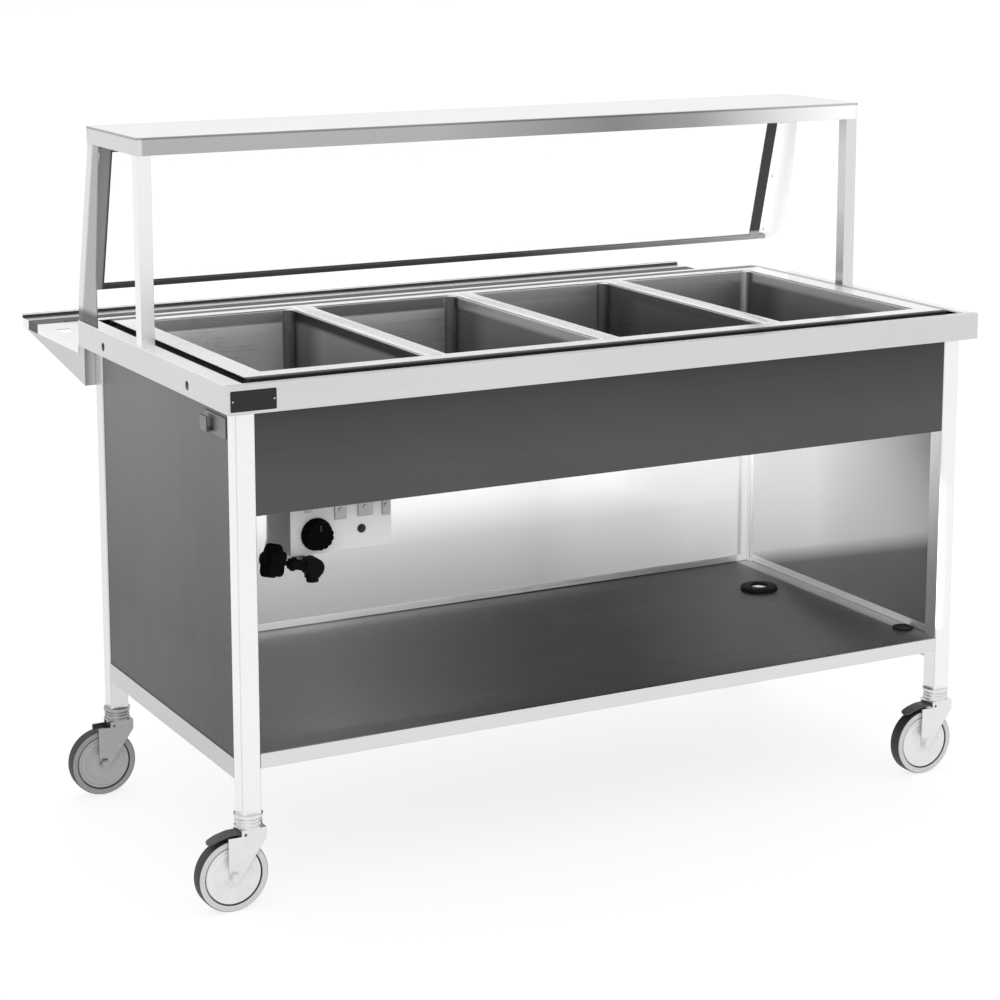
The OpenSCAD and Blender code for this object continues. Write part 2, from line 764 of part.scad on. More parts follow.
// Outline of a far post in Y and Z, drawn in from its near and far edges
function far_outline(near_in, far_in, over) =
    let (head = over_z - over_t + over,
         rise = head - over_low,
         near_top = far_edge_top - 56,
         near_foot = far_foot_y + 2 - far_post_foot,
         near_knee = knee_z + 50)
    [[near_top - rise * 0.125 + near_in, head],
     [far_edge_top - rise * far_slope - far_in, head],
     [far_foot_y - far_in, knee_z],
     [far_foot_y + 2 - far_in, top_z - over],
     [near_foot + near_in, top_z - over],
     [near_foot + near_in, near_knee]];

// Tapered angles that lean out to the counter's far edge: a web at the end and a flange behind the guard
module far_posts() {
    color("silver") placed() both_ends() difference() {
        along_x(-post_x, far_flange_w, far_outline(0, 0, 0));
        along_x(-post_x + post_t, far_flange_w, far_outline(-3, post_t, 3));
    }
}

// Frame of the guard: X along the counter, Y out of the glass, Z up the slope from the overshelf's edge
module on_slope() {
    translate([0, far_edge_top, over_low]) rotate([guard_tilt, 0, 0]) children();
}

module guard_panel() {
    color([0.8, 0.9, 0.9, 0.3]) placed() on_slope()
        translate([-guard_half, -guard_back - rail_t - guard_t, guard_low + rail_t])
            cube([2 * guard_half, guard_t, -guard_low - 2 * rail_t - guard_top_gap]);
}

// Channels that grip the lower and upper edges of the guard panel, tied by a flat stile near each end
module guard_rails() {
    deep = guard_t + 2 * rail_t;
    color("dimgray") placed() on_slope() {
        for (top = [0, 1]) {
            z0 = top == 0 ? guard_low : -guard_rail_h - guard_top_gap;
            slot_z = top == 0 ? rail_t : -1;
            translate([-guard_half, -guard_back, z0]) difference() {
                translate([0, -deep, 0]) cube([2 * guard_half, deep, guard_rail_h]);
                translate([-1, -guard_t - rail_t, slot_z])
                    cube([2 * guard_half + 2, guard_t, top == 0 ? guard_rail_h : guard_rail_h - rail_t + 1]);
            }
        }
        both_ends() translate([-post_x + far_flange_w, -guard_back - deep, guard_low])
            cube([stile_w, rail_t, -guard_low - guard_top_gap]);
    }
}

// Slide surface with turned-down edges, a raised outer lip, beads, and a slot near each end
module tray_slide() {
    inner = slide_y - top_y;
    inner_x = top_x - slide_t - bracket_t - 0.3;
    slot_end = 14;
    bead_end = 60;
    bead_r = 9;
    bead_sunk = 6;
    color("whitesmoke") placed() difference() {
        union() {
            translate([-top_x, top_y, slide_z - slide_t]) cube([top_l, inner, slide_t]);
            translate([-inner_x, top_y, slide_z - slide_edge]) cube([2 * inner_x, slide_t, slide_edge]);
            translate([-top_x, slide_y - slide_t, slide_z - slide_edge]) cube([top_l, slide_t, slide_edge + slide_lip]);
            translate([-top_x, slide_y - slide_t - 1, slide_z + slide_lip - slide_t])
                rotate([0, 90, 0]) cylinder(h = top_l, r = slide_t);
            both_ends() translate([-top_x, top_y, slide_z - slide_edge]) cube([slide_t, inner, slide_edge]);
            for (k = [1 : bead_n]) intersection() {
                translate([-top_x + bead_end, top_y + k * inner / (bead_n + 1), slide_z - bead_sunk])
                    rotate([0, 90, 0]) cylinder(h = top_l - 2 * bead_end, r = bead_r);
                translate([-top_x, top_y, slide_z - 0.5]) cube([top_l, inner, 20]);
            }
        }
        both_ends() translate([-top_x + slot_end, top_y + slide_slot_y, slide_z - slide_t - 1])
            cube([slide_slot_w, slide_slot_l, slide_t + 2]);
    }
}

// Knife bracket at each end: side plate, top flange under the slide and foot flange on the leg
module tray_brackets() {
    under = slide_z - slide_t;
    fascia_low = top_z - fascia_h;
    root_top = min(fascia_low, under) - 0.2;
    low = slide_z - bracket_h;
    tip_y = slide_y - slide_t - 4;
    color("silver") placed() both_ends() {
        along_x(-top_x + slide_t, bracket_t, [[leg_y, low], [leg_y, root_top], [top_y + slide_t + 0.2, root_top],
            [top_y + slide_t + 0.2, under], [tip_y, under], [tip_y, slide_z - slide_edge + 2],
            [tip_y - 12, slide_z - slide_edge - 1]]);
        translate([-top_x + slide_t, top_y + slide_t + 3, under - bracket_t])
            cube([slide_slot_w - 15, tip_y - top_y - slide_t - 3, bracket_t]);
        translate([-top_x + slide_t, leg_y, low]) cube([leg_w + top_x - leg_x - slide_t, bracket_t, root_top - low]);
    }
}

// Plate with a turned-out hook on the left panel, for pulling two counters together
module interlock_plate() {
    face = -leg_x + panel_inset;
    plate_drop = 102;
    plate_z = top_z - plate_drop;
    plate_y = -leg_y + 43;
    hook_y = plate_y + 60;
    hook_l = 28;
    hook_out = 12;
    hook_h = 26;
    hook_t = 3;
    color("gray") placed() {
        translate([face - 2, plate_y, plate_z]) cube([2, hook_y + hook_l + 4 - plate_y, 35]);
        translate([face - hook_out, hook_y, plate_z + 2]) cube([hook_out - 2, hook_l, hook_t]);
        translate([face - hook_out, hook_y, plate_z + 2]) cube([hook_t, hook_l, hook_h]);
    }
}

// Visible bolt heads: under the deck below the posts, and on the bracket feet
module frame_bolts() {
    head_r = 6.5;
    head_h = 4.5;
    low = slide_z - bracket_h;
    foot_y = far_foot_y + 2 - far_post_foot;
    color("silver") placed() both_ends() {
        for (y = [near_post_y + post_d / 2, foot_y + 20, foot_y + far_post_foot - 24])
            translate([-post_x + post_w / 2, y, top_z - deck_t - head_h])
                cylinder(h = head_h, r = head_r, $fn = 6);
        for (z = [low + 18, low + 50]) translate([-caster_x, leg_y + bracket_t, z]) rotate([-90, 0, 0])
            cylinder(h = head_h, r = head_r, $fn = 6);
    }
}

// Puts a caster part, drawn round the swivel axis with its wheel to the left, under a leg
module at_caster(sx, sy) {
    placed() translate([sx * caster_x, sy * caster_y, 0]) children();
}

// Square plug in each leg tube and the round cup that holds the swivel pin
module caster_cups() {
    plug = leg_w - 2 * leg_wall - 0.4;
    rim_h = 5;
    color("silver") for (sx = [-1, 1], sy = [-1, 1]) at_caster(sx, sy) difference() {
        union() {
            translate([0, 0, leg_bottom]) linear_extrude(plug_h) round_rect(plug, plug, 1.5);
            translate([0, 0, leg_bottom - rim_h]) cylinder(h = rim_h, r = cup_r + 1);
            translate([0, 0, leg_bottom - cup_h + rim_h]) cylinder(h = cup_h - rim_h, r = cup_r - 2);
            translate([0, 0, leg_bottom - cup_h]) cylinder(h = rim_h, r1 = cup_r - 1, r2 = cup_r - 2);
        }
        translate([0, 0, leg_bottom - cup_h - 1]) cylinder(h = cup_h + 20, r = pin_r + run_gap);
    }
}

// Side outline of a fork plate in X and Z: a head below the cup, a step at the pedal and an eye at the axle
module fork_outline() {
    step_z = crown_top - 11;
    polygon([[crown_left, crown_top], [crown_right, crown_top], [crown_right, crown_top - 19],
        [-trail + fork_eye_r, wheel_r - 4], [-trail - fork_eye_r, wheel_r], [-trail - fork_eye_r, step_z],
        [crown_left, step_z]]);
    translate([-trail, wheel_r]) circle(fork_eye_r);
}

// Swivel fork: two plates, a crown over the wheel and the pin that turns in the cup
module fork(sx, sy) {
    color("silver") at_caster(sx, sy) difference() {
        union() {
            for (y0 = [-fork_in - fork_t, fork_in]) translate([0, y0 + fork_t, 0]) rotate([90, 0, 0])
                linear_extrude(fork_t) fork_outline();
            translate([crown_left, -fork_w / 2, crown_top - crown_t])
                cube([crown_right - crown_left, fork_w, crown_t]);
            translate([0, 0, crown_top - 1]) cylinder(h = cup_h + 16, r = pin_r);
        }
        translate([-trail, 0, wheel_r]) rotate([90, 0, 0])
            cylinder(h = fork_w + 2, r = axle_r + run_gap, center = true);
        translate([pedal_x, 0, pedal_z]) rotate([90, 0, 0])
            cylinder(h = fork_w + 2, r = pedal_pin_r + run_gap, center = true);
    }
}

// Pressed wheel disc with a raised boss
module hub(sx, sy) {
    color("whitesmoke") at_caster(sx, sy) translate([-trail, 0, wheel_r]) rotate([90, 0, 0]) difference() {
        union() {
            cylinder(h = hub_len, r = 17, center = true);
            cylinder(h = 8, r = hub_r - 4, center = true);
            difference() {
                cylinder(h = tread_w - 4, r = hub_r, center = true);
                cylinder(h = tread_w, r = hub_r - 6, center = true);
            }
        }
        cylinder(h = hub_len + 2, r = axle_r + run_gap, center = true);
    }
}

// Tyre with a lightly crowned tread
module tyre(sx, sy) {
    half = tread_w / 2;
    color("dimgray") at_caster(sx, sy) translate([-trail, 0, wheel_r]) rotate([90, 0, 0]) rotate_extrude($fn = 96)
        polygon([[hub_r, -half + 2], [hub_r + 2, -half], [wheel_r - 4, -half], [wheel_r - 1.2, -half + 3],
            [wheel_r, -half + 9], [wheel_r, half - 9], [wheel_r - 1.2, half - 3], [wheel_r - 4, half],
            [hub_r + 2, half], [hub_r, half - 2]]);
}

// Axle bolt of a caster, with a head and a nut outside the fork
module axle(sx, sy) {
    color("silver") at_caster(sx, sy) translate([-trail, 0, wheel_r]) rotate([90, 0, 0]) {
        cylinder(h = fork_w, r = axle_r, center = true);
        for (s = [0, 180]) rotate([s, 0, 0]) translate([0, 0, fork_w / 2]) {
            cylinder(h = 6, r = 9.5, $fn = 6);
            translate([0, 0, 6]) cylinder(h = 1.5, r = 6);
        }
    }
}

// Brake lever that curves over the wheel from its pivot pin below the crown
module pedal(sx, sy) {
    wide = 2 * fork_in - 3;
    color("gray") at_caster(sx, sy) translate([pedal_x, 0, pedal_z]) rotate([90, 0, 0]) {
        cylinder(h = wide, r = pedal_hub_r, center = true);
        cylinder(h = fork_w, r = pedal_pin_r, center = true);
        translate([0, 0, -wide / 2]) linear_extrude(wide)
            polygon([[0, 4], [-9, 4.2], [-26, 3.6], [-46, -1.6], [-64, -10], [-62, -13], [-44, -5.6],
                [-24, -1], [0, -3]]);
    }
}

leg(-1, -1);  // leg_front_left
leg(1, -1);  // leg_front_right
leg(-1, 1);  // leg_rear_left
leg(1, 1);  // leg_rear_right
side_rails();
cross_rails();
top_frame();
bottom_shelf();
shelf_grommets();
apron();
panel_left();
panel_right();
panel_rear();
liners();
counter_top();
well_frame();
adapter_bars();
well(0);  // well_1
well(1);  // well_2
well(2);  // well_3
well(3);  // well_4
heating_elements();
well_housing();
drain_manifold();
valve_body();
valve_handle();
control_box();
control_plate();
thermostat();
thermostat_knob();
pilot_light();
plate_clips();
overshelf();
near_posts();
far_posts();
guard_panel();
guard_rails();
tray_slide();
tray_brackets();
interlock_plate();
frame_bolts();
caster_cups();
fork(-1, -1);  // fork_front_left
fork(1, -1);  // fork_front_right
fork(-1, 1);  // fork_rear_left
fork(1, 1);  // fork_rear_right
hub(-1, -1);  // hub_front_left
hub(1, -1);  // hub_front_right
hub(-1, 1);  // hub_rear_left
hub(1, 1);  // hub_rear_right
tyre(-1, -1);  // tyre_front_left
tyre(1, -1);  // tyre_front_right
tyre(-1, 1);  // tyre_rear_left
tyre(1, 1);  // tyre_rear_right
pedal(-1, -1);  // pedal_front_left
pedal(1, -1);  // pedal_front_right
axle(-1, -1);  // axle_front_left
axle(1, -1);  // axle_front_right
axle(-1, 1);  // axle_rear_left
axle(1, 1);  // axle_rear_right
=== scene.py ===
"""Looks of the mobile hot food serving counter: steel, rubber and plastic finishes, drawn wells, wheels,
knob, handle and small fittings, a pale floor and soft light. Pieces are worked out in millimetres in the
counter's own frame, with X along the deck, Y from the operator to the customer, both from the deck's
middle, and Z up. MOVE takes them to the frame that all bodies share, in metres."""

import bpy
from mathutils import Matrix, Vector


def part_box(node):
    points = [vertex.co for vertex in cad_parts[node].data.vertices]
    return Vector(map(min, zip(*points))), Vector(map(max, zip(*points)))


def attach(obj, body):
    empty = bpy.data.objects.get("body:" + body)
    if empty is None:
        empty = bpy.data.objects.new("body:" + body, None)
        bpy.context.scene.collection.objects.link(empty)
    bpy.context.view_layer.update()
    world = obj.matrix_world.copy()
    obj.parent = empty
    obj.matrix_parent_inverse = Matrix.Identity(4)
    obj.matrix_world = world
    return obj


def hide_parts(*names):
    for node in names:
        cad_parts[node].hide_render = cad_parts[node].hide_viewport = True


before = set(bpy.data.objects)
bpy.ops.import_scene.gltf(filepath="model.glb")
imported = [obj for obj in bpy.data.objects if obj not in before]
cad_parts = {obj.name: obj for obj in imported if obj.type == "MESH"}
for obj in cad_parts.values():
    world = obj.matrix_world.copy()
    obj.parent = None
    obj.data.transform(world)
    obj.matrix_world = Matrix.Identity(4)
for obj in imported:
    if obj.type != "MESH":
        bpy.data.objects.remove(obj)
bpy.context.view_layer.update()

import math

import bmesh
import bpy
import numpy as np
from mathutils import Vector

MOVE = np.array([0.0285, -0.166, 0.0])
TAU = 2 * math.pi
RIGHT, NEAR, FAR, UP = (1, 0, 0), (0, -1, 0), (0, 1, 0), (0, 0, 1)
CORNERS = {"front_left": (-1, -1), "front_right": (1, -1), "rear_left": (-1, 1), "rear_right": (1, 1)}
BRAKED = ("front_left", "front_right")

# Middle of a leg and distance between wells, in millimetres
LEG_X, LEG_Y = 722.5, 321.5
WELL_STEP = 346.0


def span(name):
    """Lower and upper corner of a node's box in the counter's own frame, in millimetres."""
    return [1000 * (np.array(c) - MOVE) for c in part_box(name)]


# Materials

class Wire:
    """A socket that takes part in Python arithmetic: each operator adds one Math node."""

    def __init__(self, tree, socket):
        self.tree, self.socket = tree, socket

    def math(self, operation, other=None, clamp=False):
        n = self.tree.nodes.new("ShaderNodeMath")
        n.operation, n.use_clamp = operation, clamp
        for i, v in enumerate((self, other)):
            if isinstance(v, Wire):
                self.tree.links.new(v.socket, n.inputs[i])
            elif v is not None:
                n.inputs[i].default_value = v
        return Wire(self.tree, n.outputs[0])

    def __add__(self, o):
        return self.math("ADD", o)

    def __sub__(self, o):
        return self.math("SUBTRACT", o)

    def __rsub__(self, o):
        return (self * -1.0).math("ADD", o)

    def __mul__(self, o):
        return self.math("MULTIPLY", o)

    def __abs__(self):
        return self.math("ABSOLUTE")

    __radd__ = __add__
    __rmul__ = __mul__

    def clamp(self):
        return self.math("ADD", 0.0, clamp=True)

    def above(self, edge, soft):
        """0 below the edge and 1 above it, with a straight slope of the given width between."""
        return ((self - edge) * (1 / soft) + 0.5).clamp()

    def below(self, edge, soft):
        """1 below the edge and 0 above it, with the same slope."""
        return ((edge - self) * (1 / soft) + 0.5).clamp()

    def between(self, low, high, soft):
        """1 from low to high and 0 outside, with the same slope at both."""
        return self.above(low, soft) * self.below(high, soft)


class Finish:
    """A material whose nodes are added by one method, and whose constants are set on its own sockets."""

    def __init__(self, name, **constants):
        self.material = bpy.data.materials.new(name)
        self.material.use_nodes = True
        self.tree = self.material.node_tree
        self.shader = self.tree.nodes["Principled BSDF"]
        for key, value in constants.items():
            self.shader.inputs[key.replace("_", " ")].default_value = value
        self.place = self.node("ShaderNodeTexCoord", out="Object")

    def node(self, kind, settings=None, out=0, **inputs):
        """One node's output. An input is named as its socket is, or i and the socket's number."""
        n = self.tree.nodes.new(kind)
        for key, value in (settings or {}).items():
            setattr(n, key, value)
        for key, value in inputs.items():
            numbered = key[0] == "i" and key[1:].isdigit()
            socket = n.inputs[int(key[1:]) if numbered else key.replace("_", " ")]
            if isinstance(value, Wire):
                self.tree.links.new(value.socket, socket)
            else:
                socket.default_value = value
        return Wire(self.tree, n.outputs[out])

    def at(self, axis):
        """Place along X, Y or Z in the counter's own frame, in metres."""
        return self.node("ShaderNodeSeparateXYZ", out=axis, Vector=self.place) - float(MOVE[axis])

    def xyz(self):
        """Places along all three axes, as at gives them."""
        return [self.at(axis) for axis in range(3)]

    def feed(self, **inputs):
        for key, value in inputs.items():
            self.tree.links.new(value.socket, self.shader.inputs[key.replace("_", " ")])
        return self

    def noise(self, scale, detail=3.0, rough=0.5, stretch=(1, 1, 1)):
        where = self.node("ShaderNodeMapping", Vector=self.place, Scale=stretch)
        return self.node("ShaderNodeTexNoise", Vector=where, Scale=scale, Detail=detail, Roughness=rough)

    def mix(self, factor, a, b):
        """Blend of two colours, each given as numbers or as a wire."""
        a, b = (tuple(c) + (1,) if not isinstance(c, Wire) and len(c) == 3 else c for c in (a, b))
        return self.node("ShaderNodeMix", {"data_type": "RGBA"}, out=2, i0=factor, i6=a, i7=b)

    def tinted(self, tone):
        """Grey of the given brightness, from black at 0 to white at 1."""
        return self.mix(tone.clamp(), grey(0.0), grey(1.0))

    def shaded(self, colour, shade):
        """The colour, darkened towards black where a shade is given and is below 1."""
        return self.mix(shade(self), grey(0.0), colour) if shade else colour

    def relief(self, height, strength, distance, edge=0.0):
        """Normal from a height, laid over edges that look rounded by the given radius."""
        under = {}
        if edge:
            under["Normal"] = self.node("ShaderNodeBevel", {"samples": 4}, Radius=edge)
        bump = self.node("ShaderNodeBump", Height=height, Strength=strength, Distance=distance, **under)
        return self.feed(Normal=bump)


def grey(v, warm=0.0):
    return (v * (1 + warm), v, v * (1 - warm))


def dulled(mask, share):
    """1 where the mask is 0, and less by the share where it is 1."""
    return 1.0 - mask * share


def blend(mask, off, on):
    """off where the mask is 0 and on where it is 1."""
    return mask * (on - off) + off


GRAINS = {"x": (0.6, 160, 160), "y": (160, 0.6, 160), "z": (160, 160, 0.6)}


def brushed(name, light, rough, grain="x", streak=0.06, cloud=0.06, metallic=1.0, shade=None, dull=None,
            glance=1.0, glow=None):
    """Brushed sheet: fine streaks along one axis over slow clouds, with faint wipe marks in the roughness.
    shade takes the finish and returns a wire that multiplies its brightness, for painted light and shade, and
    dull returns one that is 1 where it is matt. glance tints what the sheet reflects at a flat angle, and
    glow returns a faint painted light of its own."""
    f = Finish(name, Metallic=metallic, Specular_Tint=(glance, glance, glance, 1.0),
               Emission_Strength=float(bool(glow)))
    if glow:
        f.feed(Emission_Color=f.tinted(glow(f)))
    fine = f.noise(2.2, detail=4, rough=0.6, stretch=GRAINS[grain])
    slow = f.noise(2.1, detail=3, rough=0.55)
    wipes = f.noise(9.0, detail=5, rough=0.65, stretch=(1.0, 1.6, 1.0))
    tone = ((fine - 0.5) * (2 * streak) + (slow - 0.5) * (2 * cloud) + 1.0) * light
    if shade:
        tone = tone * shade(f)
    roughness = (fine - 0.5) * 0.14 + (wipes - 0.5) * 0.10 + rough
    if dull:
        matt = dull(f)
        f.feed(Metallic=(1.0 - matt) * metallic)
        roughness = roughness + matt * 0.55
    f.feed(Base_Color=f.tinted(tone), Roughness=roughness.clamp())
    return f.relief(fine, strength=0.05, distance=0.0004, edge=0.0012).material


def plastic(name, light, rough, coat=0.0, shine=0.5, shade=None):
    """Moulded plastic: fine orange peel and light rubbing on a plain colour. shade works as in brushed."""
    f = Finish(name, Coat_Weight=coat, Coat_Roughness=0.12, Specular_IOR_Level=shine)
    peel = f.noise(260.0, detail=2)
    rub = f.noise(18.0, detail=4, rough=0.6)
    colour = f.mix(rub, grey(light * 0.82), grey(light * 1.2 + 0.002))
    f.feed(Base_Color=f.shaded(colour, shade), Roughness=((rub - 0.5) * 0.14 + rough).clamp())
    return f.relief(peel, strength=0.10, distance=0.0004, edge=0.0008).material


def painted(name, light, rough, coat=0.15, shine=0.5, shade=None):
    """Satin paint: slight orange peel and a few darker rub marks. shade works as in brushed."""
    f = Finish(name, Coat_Weight=coat, Coat_Roughness=0.25, Specular_IOR_Level=shine)
    peel = f.noise(180.0, detail=2)
    rub = f.noise(14.0, detail=5, rough=0.65)
    colour = f.mix(((rub - 0.5) * 0.8 + 0.5).clamp(), grey(light * 0.9), grey(light * 1.06))
    f.feed(Base_Color=f.shaded(colour, shade), Roughness=((rub - 0.5) * 0.16 + rough).clamp())
    return f.relief(peel, strength=0.10, distance=0.0004, edge=0.0010).material


def plated(name, light, rough, shade=None):
    """Bright zinc: soft mottling, small dulled spots. shade works as in brushed."""
    f = Finish(name, Metallic=1.0)
    mottle = f.noise(38.0, detail=4, rough=0.6)
    spots = f.node("ShaderNodeTexVoronoi", Vector=f.place, Scale=90.0)
    tone = ((mottle - 0.5) * 0.16 + 1.0) * light
    if shade:
        tone = tone * shade(f)
    roughness = (mottle - 0.5) * 0.2 + spots * -0.10 + (rough + 0.05)
    f.feed(Base_Color=f.tinted(tone), Roughness=roughness.clamp())
    return f.relief(mottle, strength=0.10, distance=0.0006, edge=0.0010).material


def rolled_rubber(name):
    """Grey tyre rubber: pale smooth sidewalls, painted darker as shade on the rear left wheel, a dark tread,
    and dust where it rolls.
    """
    f = Finish(name)
    half_tread = 0.0128
    dust = f.noise(30.0, detail=5, rough=0.7)
    fine = f.noise(420.0, detail=2)
    side = abs(abs(f.at(1)) - LEG_Y / 1000).above(half_tread, 0.0012)
    tread = f.mix(((dust - 0.42) * 3.0).clamp(), grey(0.012), grey(0.034, 0.04))
    wall = f.shaded(f.mix(dust, grey(0.50), grey(0.62)), wheel_shade)
    f.feed(Base_Color=f.mix(side, tread, wall), Roughness=((dust - 0.5) * 0.2 + 0.58).clamp())
    return f.relief(fine, strength=0.2, distance=0.0004, edge=0.0008).material


def clear_sheet(name):
    """Clear guard sheet: nearly all of it is seen through, with faint wipe marks."""
    f = Finish(name, IOR=1.49, Specular_IOR_Level=0.3)
    wipe = f.noise(5.0, detail=5, rough=0.7, stretch=(1, 3, 3))
    f.feed(Base_Color=f.mix(wipe, (0.90, 0.93, 0.93), (0.97, 0.99, 0.99)),
           Roughness=((wipe - 0.4) * 0.10 + 0.05).clamp(), Alpha=((wipe - 0.5) * 0.03 + 0.05).clamp())
    f.relief(wipe, strength=0.02, distance=0.0005)
    f.material.surface_render_method = "BLENDED"
    return f.material


def pale_floor():
    """Pale floor that glows faintly, so that shadows on it stay light."""
    f = Finish("pale_floor", Roughness=0.7, Specular_IOR_Level=0.2, Emission_Color=(1, 1, 1, 1),
               Emission_Strength=0.80)
    return f.feed(Base_Color=f.mix(f.noise(0.8), grey(0.20), grey(0.22))).material


# Painted light and shade over each finish. Edges and slope widths are in metres, and CRISP is a sharp slope

CRISP = 0.001
DECK_TOP, OVERSHELF_TOP, BOTTOM_SHELF_TOP = 0.908, 1.276, 0.273
BORDER_X, BORDER_Y = 0.7325, 0.3505


def rear_left(f):
    """1 on what stands at the counter's rear left corner."""
    return f.at(0).below(-0.5, 0.1) * f.at(1).above(0.0, 0.1)


def deck_shade(f):
    """Painted shade: a dark gutter inside the deck's border, a darker brink at its right, and a front border
    and fascia painted slightly darker than the deck sheet."""
    x, y, z = f.xyz()
    along = abs(y).below(BORDER_Y, CRISP)
    inside = abs(x).below(BORDER_X, CRISP) * along
    gutter = inside * z.below(DECK_TOP - 0.001, CRISP)
    fascia = z.below(DECK_TOP - 0.0015, CRISP) * (1.0 - inside)
    front = y.below(-BORDER_Y, CRISP) * z.above(DECK_TOP - 0.0015, CRISP)
    brink = x.between(BORDER_X - 0.001, BORDER_X + 0.0075, CRISP) * along
    return dulled(gutter, 0.96) * dulled(fascia, 0.28) * dulled(front, 0.26) * dulled(brink, 0.60)


def shaded_margin(f):
    """Margins of the well frame next to the front and rear gutters, where the frame is painted dark as shade
    and made matt.
    """
    front, rear = -0.3190, 0.3080
    return f.at(1).below(front, 0.002) + f.at(1).above(rear, 0.002)


def rim_shade(f):
    """Painted shade: the outer edges of the well frame, which stand in the gutter, and the margins along its
    two long sides, of which the far one is a little lighter."""
    x, y, z = f.xyz()
    rim_x, rim_y = 0.7134, 0.3314
    inside = abs(x).below(rim_x, 0.0006) * abs(y).below(rim_y, 0.0006)
    edge = (1.0 - inside) * z.below(DECK_TOP + 0.002, CRISP)
    margin = blend(y.above(0.0, 0.1), 0.93, 0.75)
    return dulled(edge, 0.94) * dulled(shaded_margin(f), margin)


def overshelf_shade(f):
    """Painted light and shade on the turned-down edge of the overshelf: darker than its top, darkest right of
    its middle, brighter towards its right end and at both folded corners, with a painted shadow line along
    its upper bend."""
    x, z = f.at(0), f.at(2)
    fold_x, end_x, darkest_x, bright_x = 0.7520, 0.7612, 0.2, 0.38
    lip = z.below(OVERSHELF_TOP - 0.0015, CRISP)
    end = abs(x).above(end_x, 0.0004)
    fold = abs(x).above(fold_x, 0.004) * (1.0 - end)
    bend = z.between(OVERSHELF_TOP - 0.0048, OVERSHELF_TOP - 0.0005, 0.0008)
    dip = (1.0 - abs(x - darkest_x) * 2.6).clamp() * 0.25
    rise = (x - bright_x).clamp() * 1.75
    front = (dip - rise + 0.46) * dulled(fold, 0.7)
    return dulled(lip * (1.0 - end), front) * dulled(lip * end, 0.22) * dulled(bend, 0.45)


def slide_strip(f):
    """Shaded strip along the tray slide, between its last bead and the outer lip."""
    bead, lip = 0.6060, 0.6620
    return f.at(1).between(bead, lip, 0.004)


def slide_shade(f):
    """Near face of the tray slide's outer lip and the strip before it, which lie in shadow."""
    face_y, foot_z = 0.6968, 0.8628
    lip = f.at(1).above(face_y, 0.0008) * f.at(2).above(foot_z, 0.0006)
    return dulled(lip, 0.92) * dulled(slide_strip(f), 0.89)


def upright_shade(f):
    """Painted shade: darker lines down the round corners of the legs for their reflections, a darker rear
    left leg in the counter's shadow, and a darker right post.
    """
    x, y, z = f.xyz()
    flat, leg_top = 0.0158, 0.90
    leg = z.below(leg_top, 0.01)
    corner = abs(abs(x) - LEG_X / 1000).above(flat, 0.0012) * abs(abs(y) - LEG_Y / 1000).above(flat, 0.0012)
    post = (1.0 - leg) * x.above(0.5, 0.1)
    return dulled(corner * leg, 0.20) * dulled(leg * rear_left(f), 0.13) * dulled(post, 0.20)


def far_post_shade(f):
    """Far posts, with painted light and shade: a painted highlight strip along the far edge, a darker web on
    the left one that is painted dark near the deck as shade, and a bright web on the right one."""
    x, y, z = f.xyz()
    lean, top_y, top_z = 0.2552, 0.288, 1.244
    strip_width, foot_top = 0.028, 0.932
    to_edge = (top_z - z) * lean + top_y - y
    strip = to_edge.below(strip_width, 0.010)
    left = x.below(0.0, 0.01)
    foot = z.below(foot_top, 0.012)
    return blend(left, dulled(strip, 0.06), strip * 0.34 + 0.36) * dulled(foot * left, 0.86)


def far_post_glow(f):
    """Painted light: a faint glow of the right far post's own, so that it shines white against the pale room.
    """
    return f.at(0).above(0.0, 0.01) * 0.42


def guard_rail_shade(f):
    """Painted light on the dark guard rails: the left stile is painted grey, and light beside its post; the
    other rails stay dark, but the lower one is painted lighter towards its right end, fading to a light grey."""
    x, z = f.at(0), f.at(2)
    foot, depth = float(span("guard_rails")[0][2]) / 1000, 0.018
    stile_x, post_x, fade_x = -0.72, -0.7470, 0.42
    left = x.below(stile_x, 0.004)
    beside = x.below(post_x, 0.002)
    fade = z.below(foot + depth, 0.004) * x.above(fade_x, 0.55) * 0.75
    return left * 0.63 + left * beside * 0.27 + fade + 0.10


def shelf_shade(f):
    """Painted reflections and shade on the bottom shelf: darkest along a slanted line right of its middle,
    with (1.6 d) ** 2 on the left of the line and 1.5 d on its right, d being the distance along X; a painted
    light strip along its right end, and lips painted brighter."""
    x, y, z = f.xyz()
    strip_x, strip_front = 0.6800, -0.250
    lip = z.above(BOTTOM_SHELF_TOP + 0.0015, CRISP)
    upper = z.above(BOTTOM_SHELF_TOP - 0.0015, 0.0008)
    strip = x.above(strip_x, 0.006) * upper * y.above(strip_front, 0.02)
    line = (y + 0.12) * 0.40 + 0.14
    left = ((line - x) * 1.6).clamp()
    right = ((x - line) * 1.5).clamp()
    return left * left + right + 0.02 + lip * 3.2 + strip * 1.5


def apron_shade(f):
    """Apron: painted shade, darker towards the deck."""
    return dulled(f.at(2).above(0.80, 0.14), 0.36)


